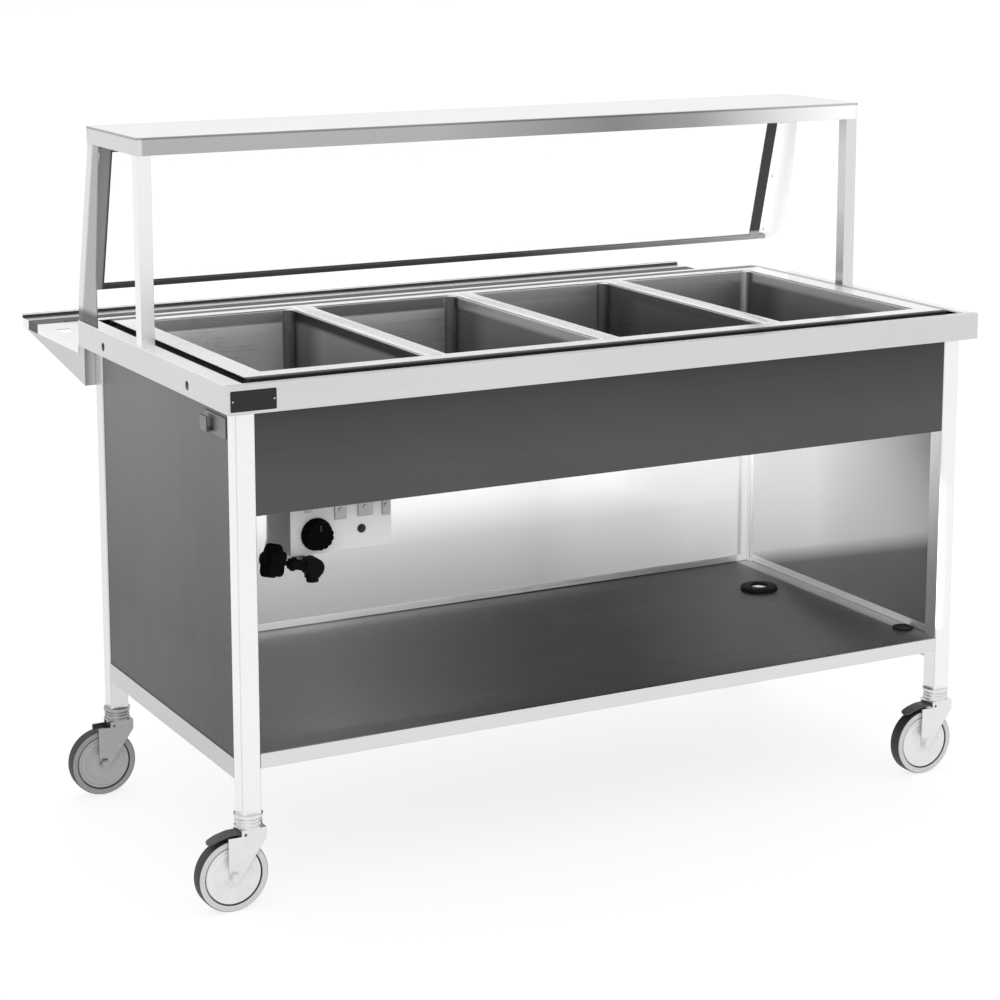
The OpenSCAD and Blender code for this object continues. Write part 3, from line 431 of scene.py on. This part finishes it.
def liner_shade(f):
    """Painted light and reflections on the liners: the rear one is brighter to the right and has a painted
    light strip with a darker edge in its right corner; the end ones carry a painted reflection of the shelf,
    dark below a line that rises towards the front, and are darker towards it."""
    x, y, z = f.xyz()
    corner_x, seam_x, end_x = 0.6810, 0.6900, 0.7100
    end = abs(x).above(end_x, CRISP)
    rear = 1.0 - end
    line = (0.216 - y) * 0.30 + 0.304
    below = ((line - z) * 28.0 + 0.5).clamp()
    corner = x.above(corner_x, 0.003) * rear
    seam = corner * x.below(seam_x, 0.003)
    low = z.below(0.34, 0.16) * rear
    high = z.above(0.445, 0.07) * 0.28 + 1.0
    tone = rear * (x.above(0.38, 0.36) * 0.44 + 0.58) * high + end * dulled(y.below(-0.1, 0.36), 0.66)
    tone = tone * dulled(end * below, 0.74) * dulled(low, 0.10) * dulled(seam, 0.30)
    return tone + corner * (1.0 - seam) * 0.08


def side_shade(f):
    """Outer panels: painted shade, darker towards the floor, and the end ones also towards the operator."""
    return (((f.at(2) - 0.42) * 1.20).clamp() + 0.44) * dulled(f.at(1).below(-0.08, 0.30), 0.20)


def wheel_shade(f):
    """The rear left wheel and its fork stand in the shade of the counter."""
    return dulled(rear_left(f), 0.50)


def bar_shade(f):
    """Dull strip along the middle of each adapter bar."""
    half = 0.0125
    left, middle, right = (abs(f.at(0) - k * WELL_STEP / 1000).below(half, 0.004) for k in (-1, 0, 1))
    return dulled(left + middle + right, 0.16)


# Painted light and shade of each well: its far wall, the band under the far rim, its right wall near the far
# corner and further out, and the band under the right rim

WELL_SHADE_TONES = {
    1: (0.88, 0.32, 0.13, 0.32, 0.03),
    2: (0.70, 0.18, 0.14, 0.28, 0.70),
    3: (0.52, 0.42, 0.11, 0.17, 0.13),
    4: (0.38, 0.38, 0.18, 0.34, 0.66),
}


def well_shade(i):
    """Drawn well, with painted light and shade by region from the table of well tones; the rest is even and
    the flange bright. In all but the last well the right wall's painted shade reaches round the far corner."""
    middle = (i - 2.5) * WELL_STEP / 1000
    wall_x, corner_x, wall_y, corner_y = 0.146, 0.134, 0.272, 0.266
    far_wall, far_band, right_near, right_out, right_band = WELL_SHADE_TONES[i]

    def shade(f):
        x, y, z = f.xyz()
        across = x - middle
        right = across.above(wall_x, 0.006)
        if i < len(WELL_SHADE_TONES):
            right = (right + across.above(corner_x, 0.004) * y.above(corner_y, 0.004)).clamp()
        far = y.above(wall_y, 0.008) * (1.0 - right)
        on_far = blend(z.above(DECK_TOP - 0.022, 0.004), far_wall, far_band)
        on_right = blend(y.below(0.17, 0.06), right_near, right_out)
        band = z.above(DECK_TOP - 0.018, 0.008) * y.below(wall_y - 0.010, 0.010)
        tone = far * on_far + right * blend(band, on_right, right_band) + (1.0 - far) * (1.0 - right) * 0.60
        return blend(z.above(DECK_TOP + 0.0005, CRISP), tone, 0.90)

    return shade


DECK = brushed("deck_steel", 0.86, 0.30, "x", shade=deck_shade)
SLIDE = brushed("tray_slide_steel", 0.84, 0.30, "x", shade=slide_shade, dull=slide_strip)
UPRIGHT = brushed("leg_steel", 0.84, 0.34, "z", 0.04, 0.03, shade=upright_shade)
FAR_POST = brushed("far_post_steel", 0.98, 0.40, "z", 0.02, 0.02, metallic=0.2, shade=far_post_shade,
                   glow=far_post_glow)
# Long and short rails are one steel; the short rails and tray brackets are painted darker as shade
RAIL_X = brushed("rail_steel_long", 0.68, 0.34, "x", 0.04, 0.04)
RAIL_Y = brushed("rail_steel_short", 0.54, 0.34, "y", 0.04, 0.04)
SHELF_OVER = brushed("overshelf_steel", 0.80, 0.30, "x", shade=overshelf_shade)
APRON = brushed("apron_steel", 0.085, 0.46, "x", 0.10, 0.12, metallic=0.8, shade=apron_shade)
SIDE = brushed("end_panel_steel", 0.185, 0.42, "z", 0.10, 0.12, metallic=0.8, shade=side_shade)
LOWER_SHELF = brushed("lower_shelf_steel", 0.185, 0.30, "x", 0.10, 0.14, metallic=0.85, shade=shelf_shade,
                      glance=0.65)
LINER = brushed("liner_steel", 0.96, 0.36, "x", 0.04, 0.05, metallic=0.35, shade=liner_shade)
# Each well has its own copy of the steel, with its own painted light and shade
WELLS = {i: brushed(f"well_steel_{i}", 1.0, 0.30, "x", 0.05, 0.12, shade=well_shade(i)) for i in WELL_SHADE_TONES}
RIM = brushed("rim_steel", 0.86, 0.26, "x", 0.04, 0.04, shade=rim_shade, dull=shaded_margin)
BAR = brushed("bar_steel", 0.92, 0.26, "y", 0.04, 0.04, shade=bar_shade)
PLATE_STEEL = brushed("plate_steel", 0.30, 0.42, "x", 0.08, 0.12)
HOOK_STEEL = brushed("hook_steel", 0.22, 0.42, "y", 0.08, 0.12)
PIPE = brushed("pipe_steel", 0.62, 0.28, "x", 0.10, 0.10)
DARK_RAIL = painted("dark_guard_rail", 0.60, 0.42, coat=0.0, shine=0.25, shade=guard_rail_shade)
ZINC = plated("bright_zinc", 0.74, 0.28, shade=wheel_shade)
HUB = plastic("wheel_disc", 0.72, 0.36, coat=0.1, shade=wheel_shade)
TYRE = rolled_rubber("tyre_rubber")
BLACK = plastic("black_moulding", 0.0015, 0.55, shine=0.025)
KNOB = plastic("knob_black", 0.001, 0.55, shine=0.02)
VALVE = painted("valve_black", 0.003, 0.50, coat=0.0, shine=0.05)
WHITE = painted("control_white", 0.60, 0.36)
MARK = painted("dial_mark_grey", 0.045, 0.45, coat=0.0, shine=0.1)
CLIP = plated("clip_grey", 0.34, 0.40)
RUBBER = plastic("grommet_rubber", 0.003, 0.55, shine=0.10)
PEDAL = painted("pedal_grey", 0.075, 0.44, coat=0.0, shine=0.3)
LENS = plastic("pilot_lens", 0.008, 0.22, coat=0.1, shine=0.25)
NAME_BLANK = painted("blank_plate_black", 0.010, 0.40, coat=0.05, shine=0.3)
CLEAR = clear_sheet("guard_clear")
FLOOR = pale_floor()

COATS = {
    "counter_top": DECK, "well_frame": RIM, "adapter_bars": BAR, "overshelf": SHELF_OVER,
    "near_posts": UPRIGHT, "far_posts": FAR_POST, "guard_panel": CLEAR, "guard_rails": DARK_RAIL,
    "tray_slide": SLIDE, "tray_brackets": RAIL_Y, "side_rails": RAIL_Y, "cross_rails": RAIL_X,
    "top_frame": PLATE_STEEL, "bottom_shelf": LOWER_SHELF, "shelf_grommets": RUBBER, "apron": APRON,
    "panel_left": SIDE, "panel_right": SIDE, "panel_rear": SIDE, "liners": LINER,
    "heating_elements": PLATE_STEEL, "well_housing": PLATE_STEEL, "drain_manifold": PIPE,
    "valve_body": VALVE, "valve_handle": BLACK, "control_box": PLATE_STEEL, "control_plate": WHITE,
    "thermostat": PLATE_STEEL, "thermostat_knob": KNOB, "pilot_light": LENS, "plate_clips": CLIP,
    "interlock_plate": HOOK_STEEL, "frame_bolts": ZINC, "caster_cups": ZINC,
}
for i, steel in WELLS.items():
    COATS[f"well_{i}"] = steel
for c in CORNERS:
    COATS.update({f"leg_{c}": UPRIGHT, f"fork_{c}": ZINC, f"axle_{c}": ZINC})
    COATS.update({f"hub_{c}": HUB, f"tyre_{c}": TYRE})
for c in BRAKED:
    COATS[f"pedal_{c}"] = PEDAL
for name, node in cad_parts.items():
    node.data.materials.clear()
    node.data.materials.append(COATS[name])


# Surfaces

SHARP_ANGLE = 35.0


def closed_skin(rings, wrap=False):
    """Points and faces of a skin over rings (m, n, 3) of n points each: a quad between each pair of
    neighbours on two successive rings. With wrap the last ring joins the first; without it each end is
    closed by triangles to the ring's mean point."""
    m, n = rings.shape[:2]
    i, j = np.meshgrid(np.arange(m if wrap else m - 1), np.arange(n), indexing="ij")
    low, high, after = i * n, (i + 1) % m * n, (j + 1) % n
    faces = np.stack([low + j, low + after, high + after, high + j], -1).reshape(-1, 4).tolist()
    points = rings.reshape(-1, 3)
    if not wrap:
        around = np.arange(n)
        points = np.vstack([points, rings[0].mean(0), rings[-1].mean(0)])
        for start, pole in ((0, m * n), ((m - 1) * n, m * n + 1)):
            faces += np.stack([start + around, start + np.roll(around, -1), np.full(n, pole)], -1).tolist()
    return points, faces


def piece(name, skins, coat, body, stands_for=()):
    """One object from one or more skins in the counter's millimetres, riding on a body."""
    points, faces, base = [], [], 0
    for p, f in skins:
        points.append(p)
        faces += [[base + v for v in face] for face in f]
        base += len(p)
    mesh = bpy.data.meshes.new(name)
    mesh.from_pydata((np.vstack(points) / 1000 + MOVE).tolist(), [], faces)
    work = bmesh.new()
    work.from_mesh(mesh)
    bmesh.ops.recalc_face_normals(work, faces=work.faces)
    work.to_mesh(mesh)
    work.free()
    mesh.shade_smooth()
    mesh.set_sharp_from_angle(angle=math.radians(SHARP_ANGLE))
    mesh.materials.append(coat)
    obj = bpy.data.objects.new(name, mesh)
    bpy.context.collection.objects.link(obj)
    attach(obj, body)
    if stands_for:
        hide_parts(*stands_for)


def turned(profile, centre, axis, start, n, wrap=False, lobes=None):
    """Turned skin of n points a ring: the profile (k, 2) gives radius and height, and a point is centre +
    height * axis + radius * (start * cos t + side * sin t). lobes takes t and the profile and returns radii
    (k, n) in place of the plain ones."""
    axis, start = np.array(axis, float), np.array(start, float)
    side = np.cross(axis, start)
    t = np.arange(n) * TAU / n
    profile = np.array(profile, float)
    radius = lobes(t, profile) if lobes else np.repeat(profile[:, :1], n, 1)
    spoke = np.cos(t)[:, None] * start + np.sin(t)[:, None] * side
    rings = np.array(centre, float) + profile[:, None, 1:] * axis + radius[:, :, None] * spoke
    return closed_skin(rings, wrap)


def arc(cx, cy, r, a0, a1, n):
    """n points of a circle from angle a0 to a1 in degrees, as radius and height."""
    a = np.radians(np.linspace(a0, a1, n))
    return np.stack([cx + r * np.cos(a), cy + r * np.sin(a)], -1)


def quarter(n):
    """Sines and cosines of n angles from 0 to 90 degrees."""
    a = np.radians(np.linspace(0, 90, n))
    return np.sin(a), np.cos(a)


def corner_rings(half_x, half_y, radius, mid_x, mid_y, z, n=9):
    """Rings that follow rectangles with round corners: every argument may be an array with one value a
    ring. A point is the corner's centre, half size less radius, plus radius * (cos a, sin a), a quarter
    turn in n points a corner."""
    each = np.broadcast_arrays(half_x, half_y, radius, mid_x, mid_y, z)
    half_x, half_y, radius, mid_x, mid_y, z = (v[:, None, None] for v in each)
    a = (np.arange(4)[:, None] * 0.25 + np.linspace(0, 0.25, n)) * TAU
    sx, sy = np.array([1, -1, -1, 1.0])[:, None], np.array([1, 1, -1, -1.0])[:, None]
    x = mid_x + sx * (half_x - radius) + radius * np.cos(a)
    y = mid_y + sy * (half_y - radius) + radius * np.sin(a)
    return np.stack([x, y, z + 0 * x], -1).reshape(len(z), 4 * n, 3)


def rounded_bar(half, radius, roll):
    """Block round the origin with round upright corners and rolled upper and lower edges, from rings that
    shrink by roll * (1 - sin a) towards both faces. half holds its half sizes in X, Y and Z."""
    s, c = quarter(4)
    shrink = np.concatenate([1 - s, (1 - s)[::-1]]) * roll
    rise = half[2] - (1 - c) * roll
    z = np.concatenate([-rise, rise[::-1]])
    radius = np.maximum(radius - shrink, 0.05)
    return closed_skin(corner_rings(half[0] - shrink, half[1] - shrink, radius, 0, 0, z, 4))


def turned_to(skin, centre, x_axis, z_axis):
    """The same skin, drawn round the origin, laid at a centre with its own X and Z along the given axes."""
    x_axis, z_axis = np.array(x_axis, float), np.array(z_axis, float)
    axes = np.stack([x_axis, np.cross(z_axis, x_axis), z_axis])
    return skin[0] @ axes + np.array(centre, float), skin[1]


# Wells

DRAIN_Y = -150.0


def well_pan(i):
    """Drawn well: flange, rolled lip, wall with a slight draft, a cove into the floor, a floor that falls to
    a round dish at the drain, and the same stations one sheet outside as its underside. Successive rings
    are rectangles with round corners that shrink into the drain's circle. A row holds half sizes, corner
    radius, middle in Y, and height."""
    lo, hi = span(f"well_{i}")
    sheet, corner, lip, draft, cove = 1.2, 18.0, 2.5, 1.5, 14.0
    wide, deep = 152.5, 284.0
    dish, seat, hole = 24.0, 20.0, 8.2
    rim, floor = hi[2], lo[2] + sheet
    flange_x, flange_y = (hi[:2] - lo[:2]) / 2
    flange_corner, flange_edge = 4.0, 0.3

    def grown(by, z):
        return (wide + by, deep + by, corner + by, 0, z)

    def circle(radius, z):
        return (radius, radius, radius, DRAIN_Y, z)

    bend = [(lip * (1 - s), rim - lip * (1 - c)) for s, c in zip(*quarter(6))]
    inner = [(-draft - cove * (1 - c), floor + 2.0 + cove * (1 - s)) for s, c in zip(*quarter(8))]
    rows = [(flange_x, flange_y, flange_corner, 0, rim - sheet),
            (flange_x, flange_y, flange_corner, 0, rim - flange_edge),
            (flange_x - flange_edge, flange_y - flange_edge, flange_corner, 0, rim)]
    rows += [grown(by, z) for by, z in bend + inner]
    rows += [circle(dish, floor + 0.5), circle(seat, floor - 0.3), circle(hole, floor - 0.6)]
    rows += [circle(hole, floor - sheet), circle(dish, floor - sheet)]
    rows += [grown(by + sheet, z - sheet) for by, z in inner[::-1]]
    rows += [grown(sheet, rim - sheet - 1.0), grown(sheet + 1.0, rim - sheet)]
    half_x, half_y, radius, mid_y, z = np.array(rows).T
    rings = corner_rings(half_x, half_y, radius, (lo[0] + hi[0]) / 2, mid_y, z)
    piece(f"well_pan_{i}", [closed_skin(rings, wrap=True)], WELLS[i], "counter",
          (f"well_{i}",))


def drain_strainers():
    """Strainer in each drain: a turned rim, a low domed cap and a lifting knob. The cap's twelve slots are
    where cos 12 t is above 0.2: there its outer radii are 0.90 of the profile's."""
    def slots(t, p):
        return p[:, :1] * (1 - 0.10 * (np.cos(12 * t) > 0.2) * (p[:, :1] > 9))

    rim = np.vstack([[[17.5, 0.6]], arc(19.5, 1.4, 1.6, 180, 0, 7), [[21.6, 0.2]], [[17.8, -0.2]]])
    cap = [[17.9, 0.7], [17.9, 1.5], [14, 2.5], [10, 3.1], [6, 3.4], [2, 3.5]]
    knob = np.vstack([[[0.6, 3.2], [3.0, 3.4], [2.4, 6.0]], arc(2.6, 8.0, 2.0, -60, 80, 6), [[0.5, 10.0]]])
    dish_z = 745.0
    skins = []
    for i in WELLS:
        drain = ((i - 2.5) * WELL_STEP, DRAIN_Y, dish_z)
        skins.append(turned(rim, drain, UP, RIGHT, 40, wrap=True))
        skins.append(turned(cap, drain, UP, RIGHT, 40, lobes=slots))
        skins.append(turned(knob, drain, UP, RIGHT, 20))
    piece("drain_strainers", skins, PIPE, "counter")


# Bottom shelf

def shelf_ring():
    """Rubber ring round the cord hole and plug in the small hole, both turned about Z: rolled rims, a neck
    through the sheet, and a bright sleeve that lines the lower part of the ring's bore."""
    top = 1000 * BOTTOM_SHELF_TOP
    cord_hole, small_hole = (602.0, 115.0, top), (689.0, -257.0, top)
    ring = np.vstack([[[19.3, -5.0], [27.4, -5.0], [27.4, 0.0], [37.4, 0.0]],
                      arc(34.8, 3.4, 3.4, -40, 80, 8), [[30.0, 7.6], [25.0, 8.0]],
                      arc(20.3, 5.4, 2.8, 70, 180, 7), [[17.5, 2.2], [19.3, 2.0]]])
    plug = np.vstack([[[0.4, -5.0], [11.0, -5.0], [11.0, 0.0], [19.4, 0.0]],
                      arc(18.6, 1.9, 1.8, -50, 95, 7), [[14.0, 3.5], [13.0, 2.9], [0.4, 3.3]]])
    sleeve = np.array([[17.5, -5.6], [19.2, -5.6], [19.2, 1.8], [17.5, 1.8]])
    rubber = [turned(ring, cord_hole, UP, RIGHT, 72, wrap=True), turned(plug, small_hole, UP, RIGHT, 48)]
    piece("cord_ring_and_plug", rubber, RUBBER, "counter", ("shelf_grommets",))
    piece("cord_ring_sleeve", [turned(sleeve, cord_hole, UP, RIGHT, 72, wrap=True)], ZINC, "counter")


# Casters

WHEEL_R, TRAIL = 63.5, 33.0


def mirrored(half):
    """Outline of a wheel's part from one half of it, which is repeated on the other side of the middle."""
    return np.vstack([half, (half * [1, -1])[::-1]])


def wheel(corner):
    """Tyre and pressed disc of one wheel, turned about its axle along Y. The tread is crowned by
    0.5 * (y / 9.2) ** 2."""
    sx, sy = CORNERS[corner]
    centre = (sx * LEG_X - TRAIL, sy * LEG_Y, WHEEL_R)
    body = f"wheel_{corner}"
    half_crown, fall = 9.2, 0.5
    crown = np.linspace(-half_crown, half_crown, 9)
    tread = np.stack([WHEEL_R - fall * (crown / half_crown) ** 2, crown], -1)
    wall = [[58.8, 13.9], [57.4, 13.3], [56.2, 13.9], [53.6, 13.9], [52.4, 13.2], [50.7, 11.2]]
    shoulder = np.vstack([arc(58.7, 9.4, 4.5, 10, 78, 5), wall])
    outline = np.vstack([tread, mirrored(shoulder)])
    piece(f"tread_{corner}", [turned(outline, centre, FAR, RIGHT, 112, wrap=True)], TYRE, body,
          (f"tyre_{corner}",))
    face = np.array([[6.1, 16.0], [13.5, 16.0], [15.8, 15.4], [16.8, 13.6], [17.6, 11.6], [19.6, 10.2],
                     [22.5, 9.8], [28.0, 9.6], [33.0, 9.9], [36.0, 10.5], [37.5, 11.2], [39.5, 11.2],
                     [41.5, 10.6], [43.5, 10.8], [45.2, 11.9], [46.6, 12.5], [48.2, 12.4], [49.4, 11.6],
                     [50.2, 10.0], [50.2, 8.6]])
    piece(f"disc_{corner}", [turned(mirrored(face), centre, FAR, RIGHT, 96, wrap=True)], HUB, body,
          (f"hub_{corner}",))


def cup_beads():
    """Rolled rings round the caster cups: each is a small circle turned about the swivel axis."""
    skins = []
    for sx, sy in CORNERS.values():
        for r, z, bead in ((22.4, 158.6, 1.2), (22.6, 153.2, 1.2), (23.4, 147.0, 1.0)):
            foot = (sx * LEG_X, sy * LEG_Y, 0)
            skins.append(turned(arc(r, z, bead, 0, 330, 12), foot, UP, RIGHT, 56, wrap=True))
    piece("cup_beads", skins, ZINC, "counter")


def brake_lever(corner):
    """Pressed brake lever: its middle line falls from the pivot over the wheel as a smooth curve, its
    cross-section is a flattened ring w * cos t wide and h * sin t thick with squared corners, and it narrows
    to a round tip with ribs across it."""
    sx, sy = CORNERS[corner]
    pivot = np.array([sx * LEG_X - 13.0, sy * LEG_Y, 134.5])
    half_width, half_pin = 14.6, 19.3
    s = np.linspace(0, 1, 30)
    stations = [0, 0.14, 0.36, 0.68, 1]
    line_x = np.interp(s, stations, [0, -9, -25, -45, -63])
    line_z = np.interp(s, stations, [0.5, 1.2, 1.2, -3.6, -11.4])
    smooth = np.array([0.25, 0.5, 0.25])
    for _ in range(3):
        line_x[1:-1] = np.convolve(line_x, smooth, "valid")
        line_z[1:-1] = np.convolve(line_z, smooth, "valid")
    thick = np.interp(s, [0, 0.2, 1], [3.2, 2.2, 1.5])
    tip = np.sqrt(np.clip(1 - np.clip((s - 0.86) / 0.145, 0, 1) ** 2, 0.02, 1))
    wide = half_width * tip * np.interp(s, [0, 0.5, 1], [1, 0.94, 0.86])
    slope = np.arctan2(np.gradient(line_z), np.gradient(line_x))
    t = np.arange(28) * TAU / 28
    c, k = np.cos(t), np.sin(t)
    across, up = np.sign(c) * np.abs(c) ** 0.35, np.sign(k) * np.abs(k) ** 0.55
    ribs = 0.35 * (np.cos(s * 90) > 0.2) * (s > 0.62)
    lift = (thick[:, None] * up + ribs[:, None] * (up > 0.6)) * np.where(np.abs(across) > 0.93, 0.9, 1.0)
    x = line_x[:, None] + lift * np.sin(slope)[:, None]
    z = line_z[:, None] - lift * np.cos(slope)[:, None]
    rings = pivot + np.stack([x, wide[:, None] * across, z], -1)
    hub = mirrored(np.array([[2.6, -15.0], [4.1, -15.0], [4.5, -14.6]]))
    pin = mirrored(np.array([[0.3, -half_pin], [2.4, -half_pin]]))
    skins = [closed_skin(rings)] + [turned(p, pivot, FAR, RIGHT, 32) for p in (hub, pin)]
    body = node = f"pedal_{corner}"
    piece(f"brake_lever_{corner}", skins, PEDAL, body, (node,))


# Controls and drain valve

KNOB_AT = np.array([-582.5, -302.9, 628.0])


def dial_knob():
    """Thermostat knob, turned about Y: a skirt, a grip with fourteen shallow flutes, r - 1.8 * max(0, cos
    14 t) ** 2, a rolled upper edge and a slightly hollow face, and the spindle behind. A pointer lies in its
    face, and marks round its skirt."""
    grip, top, skirt = 25.0, 21.0, 28.0

    def flutes(t, p):
        on_grip = ((p[:, 1] > 5.4) & (p[:, 0] > 19)).astype(float)[:, None]
        return p[:, :1] - 1.8 * on_grip * np.maximum(0, np.cos(14 * t)) ** 2

    outline = np.vstack([[[0.4, -17.0], [3.0, -17.0], [3.0, 0.3], [skirt - 0.6, 0.3], [skirt, 0.9],
                          [skirt, 3.6], [27.0, 4.8], [25.6, 5.3], [grip, 6.2], [grip - 0.5, 12.0],
                          [grip - 1.0, top - 2.0]],
                         arc(grip - 3.2, top - 1.4, 2.2, 10, 84, 5),
                         [[20.0, top + 0.5], [17.0, top - 0.2], [8.0, top - 0.7], [0.6, top - 0.8]]])
    piece("dial_knob", [turned(outline, KNOB_AT, NEAR, RIGHT, 168, lobes=flutes)], KNOB, "knob",
          ("thermostat_knob",))
    pointer, dash = rounded_bar((1.1, 5.6, 0.5), 0.9, 0.3), rounded_bar((0.35, 0.85, 0.2), 0.2, 0.1)
    marks = [turned_to(pointer, KNOB_AT + (0, -top - 0.2, 14.2), RIGHT, NEAR)]
    for a in np.radians(np.arange(-150, 151, 30)):
        out = np.array([math.sin(a), 0, math.cos(a)])
        marks.append(turned_to(dash, KNOB_AT + (0, -4.95, 0) + 26.5 * out, np.cross(out, NEAR), NEAR))
    piece("knob_marks", marks, MARK, "knob")


def lobed_handle():
    """Drain valve handle, turned about its stem: radius 22.5 + 7.5 * ((1 + cos 5 t) / 2) ** 0.8 less an
    inset that rolls both edges over by a quarter circle, with a flared boss, a stem and a shallow hollow in
    its face. A row holds radius, height and the share of the lobes in it."""
    tilt = math.radians(14)
    axis, start = (-math.cos(tilt), 0, math.sin(tilt)), (math.sin(tilt), 0, math.cos(tilt))
    seat = (-597, -318, 577)
    tip, near, far, depth = 30, 65.5, 83.0, 7.5
    near_roll, far_roll = 5.5, 5.0
    rows = [(0.4, 24, 0), (4.0, 24, 0), (4.0, 53, 0), (9.0, 54, 0), (10.5, 57, 0), (13.5, 60.2, 0)]
    rows += [(tip - near_roll * (1 - s), near - near_roll * c, 1) for s, c in zip(*quarter(6))]
    rows += [(tip - far_roll * (1 - c), far + far_roll * s, 1) for s, c in zip(*quarter(6))]
    rows += [(17.0, 88.2, 0.5), (13.5, 88.6, 0), (12.5, 90.4, 0), (9.0, 91.0, 0), (5.0, 90.2, 0),
             (0.5, 90.0, 0)]
    rows = np.array(rows, float)

    def lobes(t, p):
        hollow = depth * (1 - (0.5 + 0.5 * np.cos(5 * (t - TAU / 4))) ** 0.8)
        return p[:, :1] - rows[:, 2:] * hollow

    piece("lobed_handle", [turned(rows[:, :2], seat, axis, start, 160, lobes=lobes)], BLACK,
          "drain_handle", ("valve_handle",))


def button_head(centre, out, across, r=3.4):
    """Round screw head with a recess: radius and height go over a quarter of an ellipse and down into a
    cone."""
    a = np.radians(np.linspace(0, 66, 5))
    dome = np.stack([r * np.cos(a), 0.4 + 0.55 * r * np.sin(a)], -1)
    profile = np.vstack([[[r, 0]], dome, [[r * 0.34, r * 0.5]], [[0.2, r * 0.28]]])
    return turned(profile, centre, out, across, 16)


def blank_plate(at):
    """Blank plate on the fascia: a flat field, and a raised bead round it, which is a small circle carried
    round a rectangle."""
    bead, face = 0.4, 0.35
    field = rounded_bar((40.6, 17.4, face), 2.0, 0.2)
    a = np.linspace(0, TAU, 9)[:-1]
    inset, rise = bead * np.cos(a), face * np.sin(a)
    rings = corner_rings(40.2 - inset, 17.0 - inset, 2.0, 0, 0, face + rise, 4)
    skins = [turned_to(skin, at, RIGHT, NEAR) for skin in (field, closed_skin(rings, wrap=True))]
    piece("blank_plate", skins, NAME_BLANK, "counter")


def small_screws(plate):
    """Rivets of the blank plate, and the screws of the guard's stiles and of the rear panel."""
    skins = [button_head(plate + (side * 36.5, -0.2, 0), NEAR, RIGHT, 1.5) for side in (-1, 1)]
    tilt = math.radians(14.3)
    out = (0, -math.cos(tilt), -math.sin(tilt))
    lo, hi = span("guard_rails")
    for side in (-1, 1):
        for share in (0.08, 0.5, 0.92):
            z = lo[2] + (hi[2] - lo[2]) * share
            y = hi[1] - 10.2 - (z - lo[2]) * math.tan(tilt)
            skins.append(button_head((side * (hi[0] - 8.5), y, z), out, RIGHT, 2.6))
    rear_y, rear_rows = 337.0, (281, 858)
    for x in np.linspace(-640, 640, 6):
        for z in rear_rows:
            skins.append(button_head((x, rear_y, z), FAR, RIGHT))
    piece("small_screws", skins, ZINC, "counter")


for i in WELLS:
    well_pan(i)
drain_strainers()
shelf_ring()
for corner in CORNERS:
    wheel(corner)
cup_beads()
for corner in BRAKED:
    brake_lever(corner)
dial_knob()
lobed_handle()
plate_at = np.array([-719.0, -368.3, 882.6])
blank_plate(plate_at)
small_screws(plate_at)


# Floor, light and camera

def light(name, at, aim, power, size, size_y):
    """Rectangular soft light at a place, turned to what it lights."""
    data = bpy.data.lights.new(name, "AREA")
    data.energy, data.shape, data.size, data.size_y = power, "RECTANGLE", size, size_y
    lamp = bpy.data.objects.new(name, data)
    bpy.context.collection.objects.link(lamp)
    lamp.location = at
    lamp.rotation_mode = "QUATERNION"
    lamp.rotation_quaternion = (Vector(aim) - Vector(at)).to_track_quat("-Z", "Y")


def studio():
    """A large pale floor, a bright room, three soft boxes, and a wide one at the open front that lights the
    shelf."""
    half = 30.0
    mesh = bpy.data.meshes.new("floor")
    mesh.from_pydata([(-half, -half, 0), (half, -half, 0), (half, half, 0), (-half, half, 0)], [],
                     [(0, 1, 2, 3)])
    mesh.materials.append(FLOOR)
    floor = bpy.data.objects.new("floor", mesh)
    bpy.context.collection.objects.link(floor)
    world = bpy.data.worlds.new("room")
    bpy.context.scene.world = world
    world.use_nodes = True
    room = world.node_tree.nodes["Background"]
    room.inputs["Color"].default_value = (1, 1, 1, 1)
    room.inputs["Strength"].default_value = 1.0
    middle = (0, 0, 0.6)
    light("key", (-2.6, -3.4, 3.6), middle, 26, 2.4, 2.0)
    light("fill", (3.6, -3.0, 2.4), middle, 8, 2.6, 2.2)
    light("top", (0.2, 0.6, 4.2), middle, 36, 3.0, 2.0)
    light("bay", (0.07, -0.49, 0.43), (0.10, 0.15, 0.45), 3.4, 1.36, 0.28)
    bpy.context.scene.view_settings.view_transform = "Standard"


def photo_camera():
    """Camera of the photograph, worked out from points of the counter: focal length and the row of its axis
    in pixels of a picture 1000 wide, yaw and pitch in radians, and its place."""
    width, focal, row = 1000.0, 2555.72, 350.0
    yaw, pitch = 0.49373, 0.17993
    at = np.array([-2.29049, -4.13019, 1.70336]) + MOVE
    data = bpy.data.cameras.new("photo")
    data.sensor_width, data.lens = 36.0, 36.0 * focal / width
    data.shift_y = (row - width / 2) / width
    data.clip_start, data.clip_end = 0.05, 200
    cam = bpy.data.objects.new("photo", data)
    bpy.context.collection.objects.link(cam)
    ahead = (math.sin(yaw) * math.cos(pitch), math.cos(yaw) * math.cos(pitch), -math.sin(pitch))
    cam.rotation_mode = "QUATERNION"
    cam.rotation_quaternion = Vector(ahead).to_track_quat("-Z", "Y")
    cam.location = at.tolist()
    bpy.context.scene.camera = cam


studio()
photo_camera()
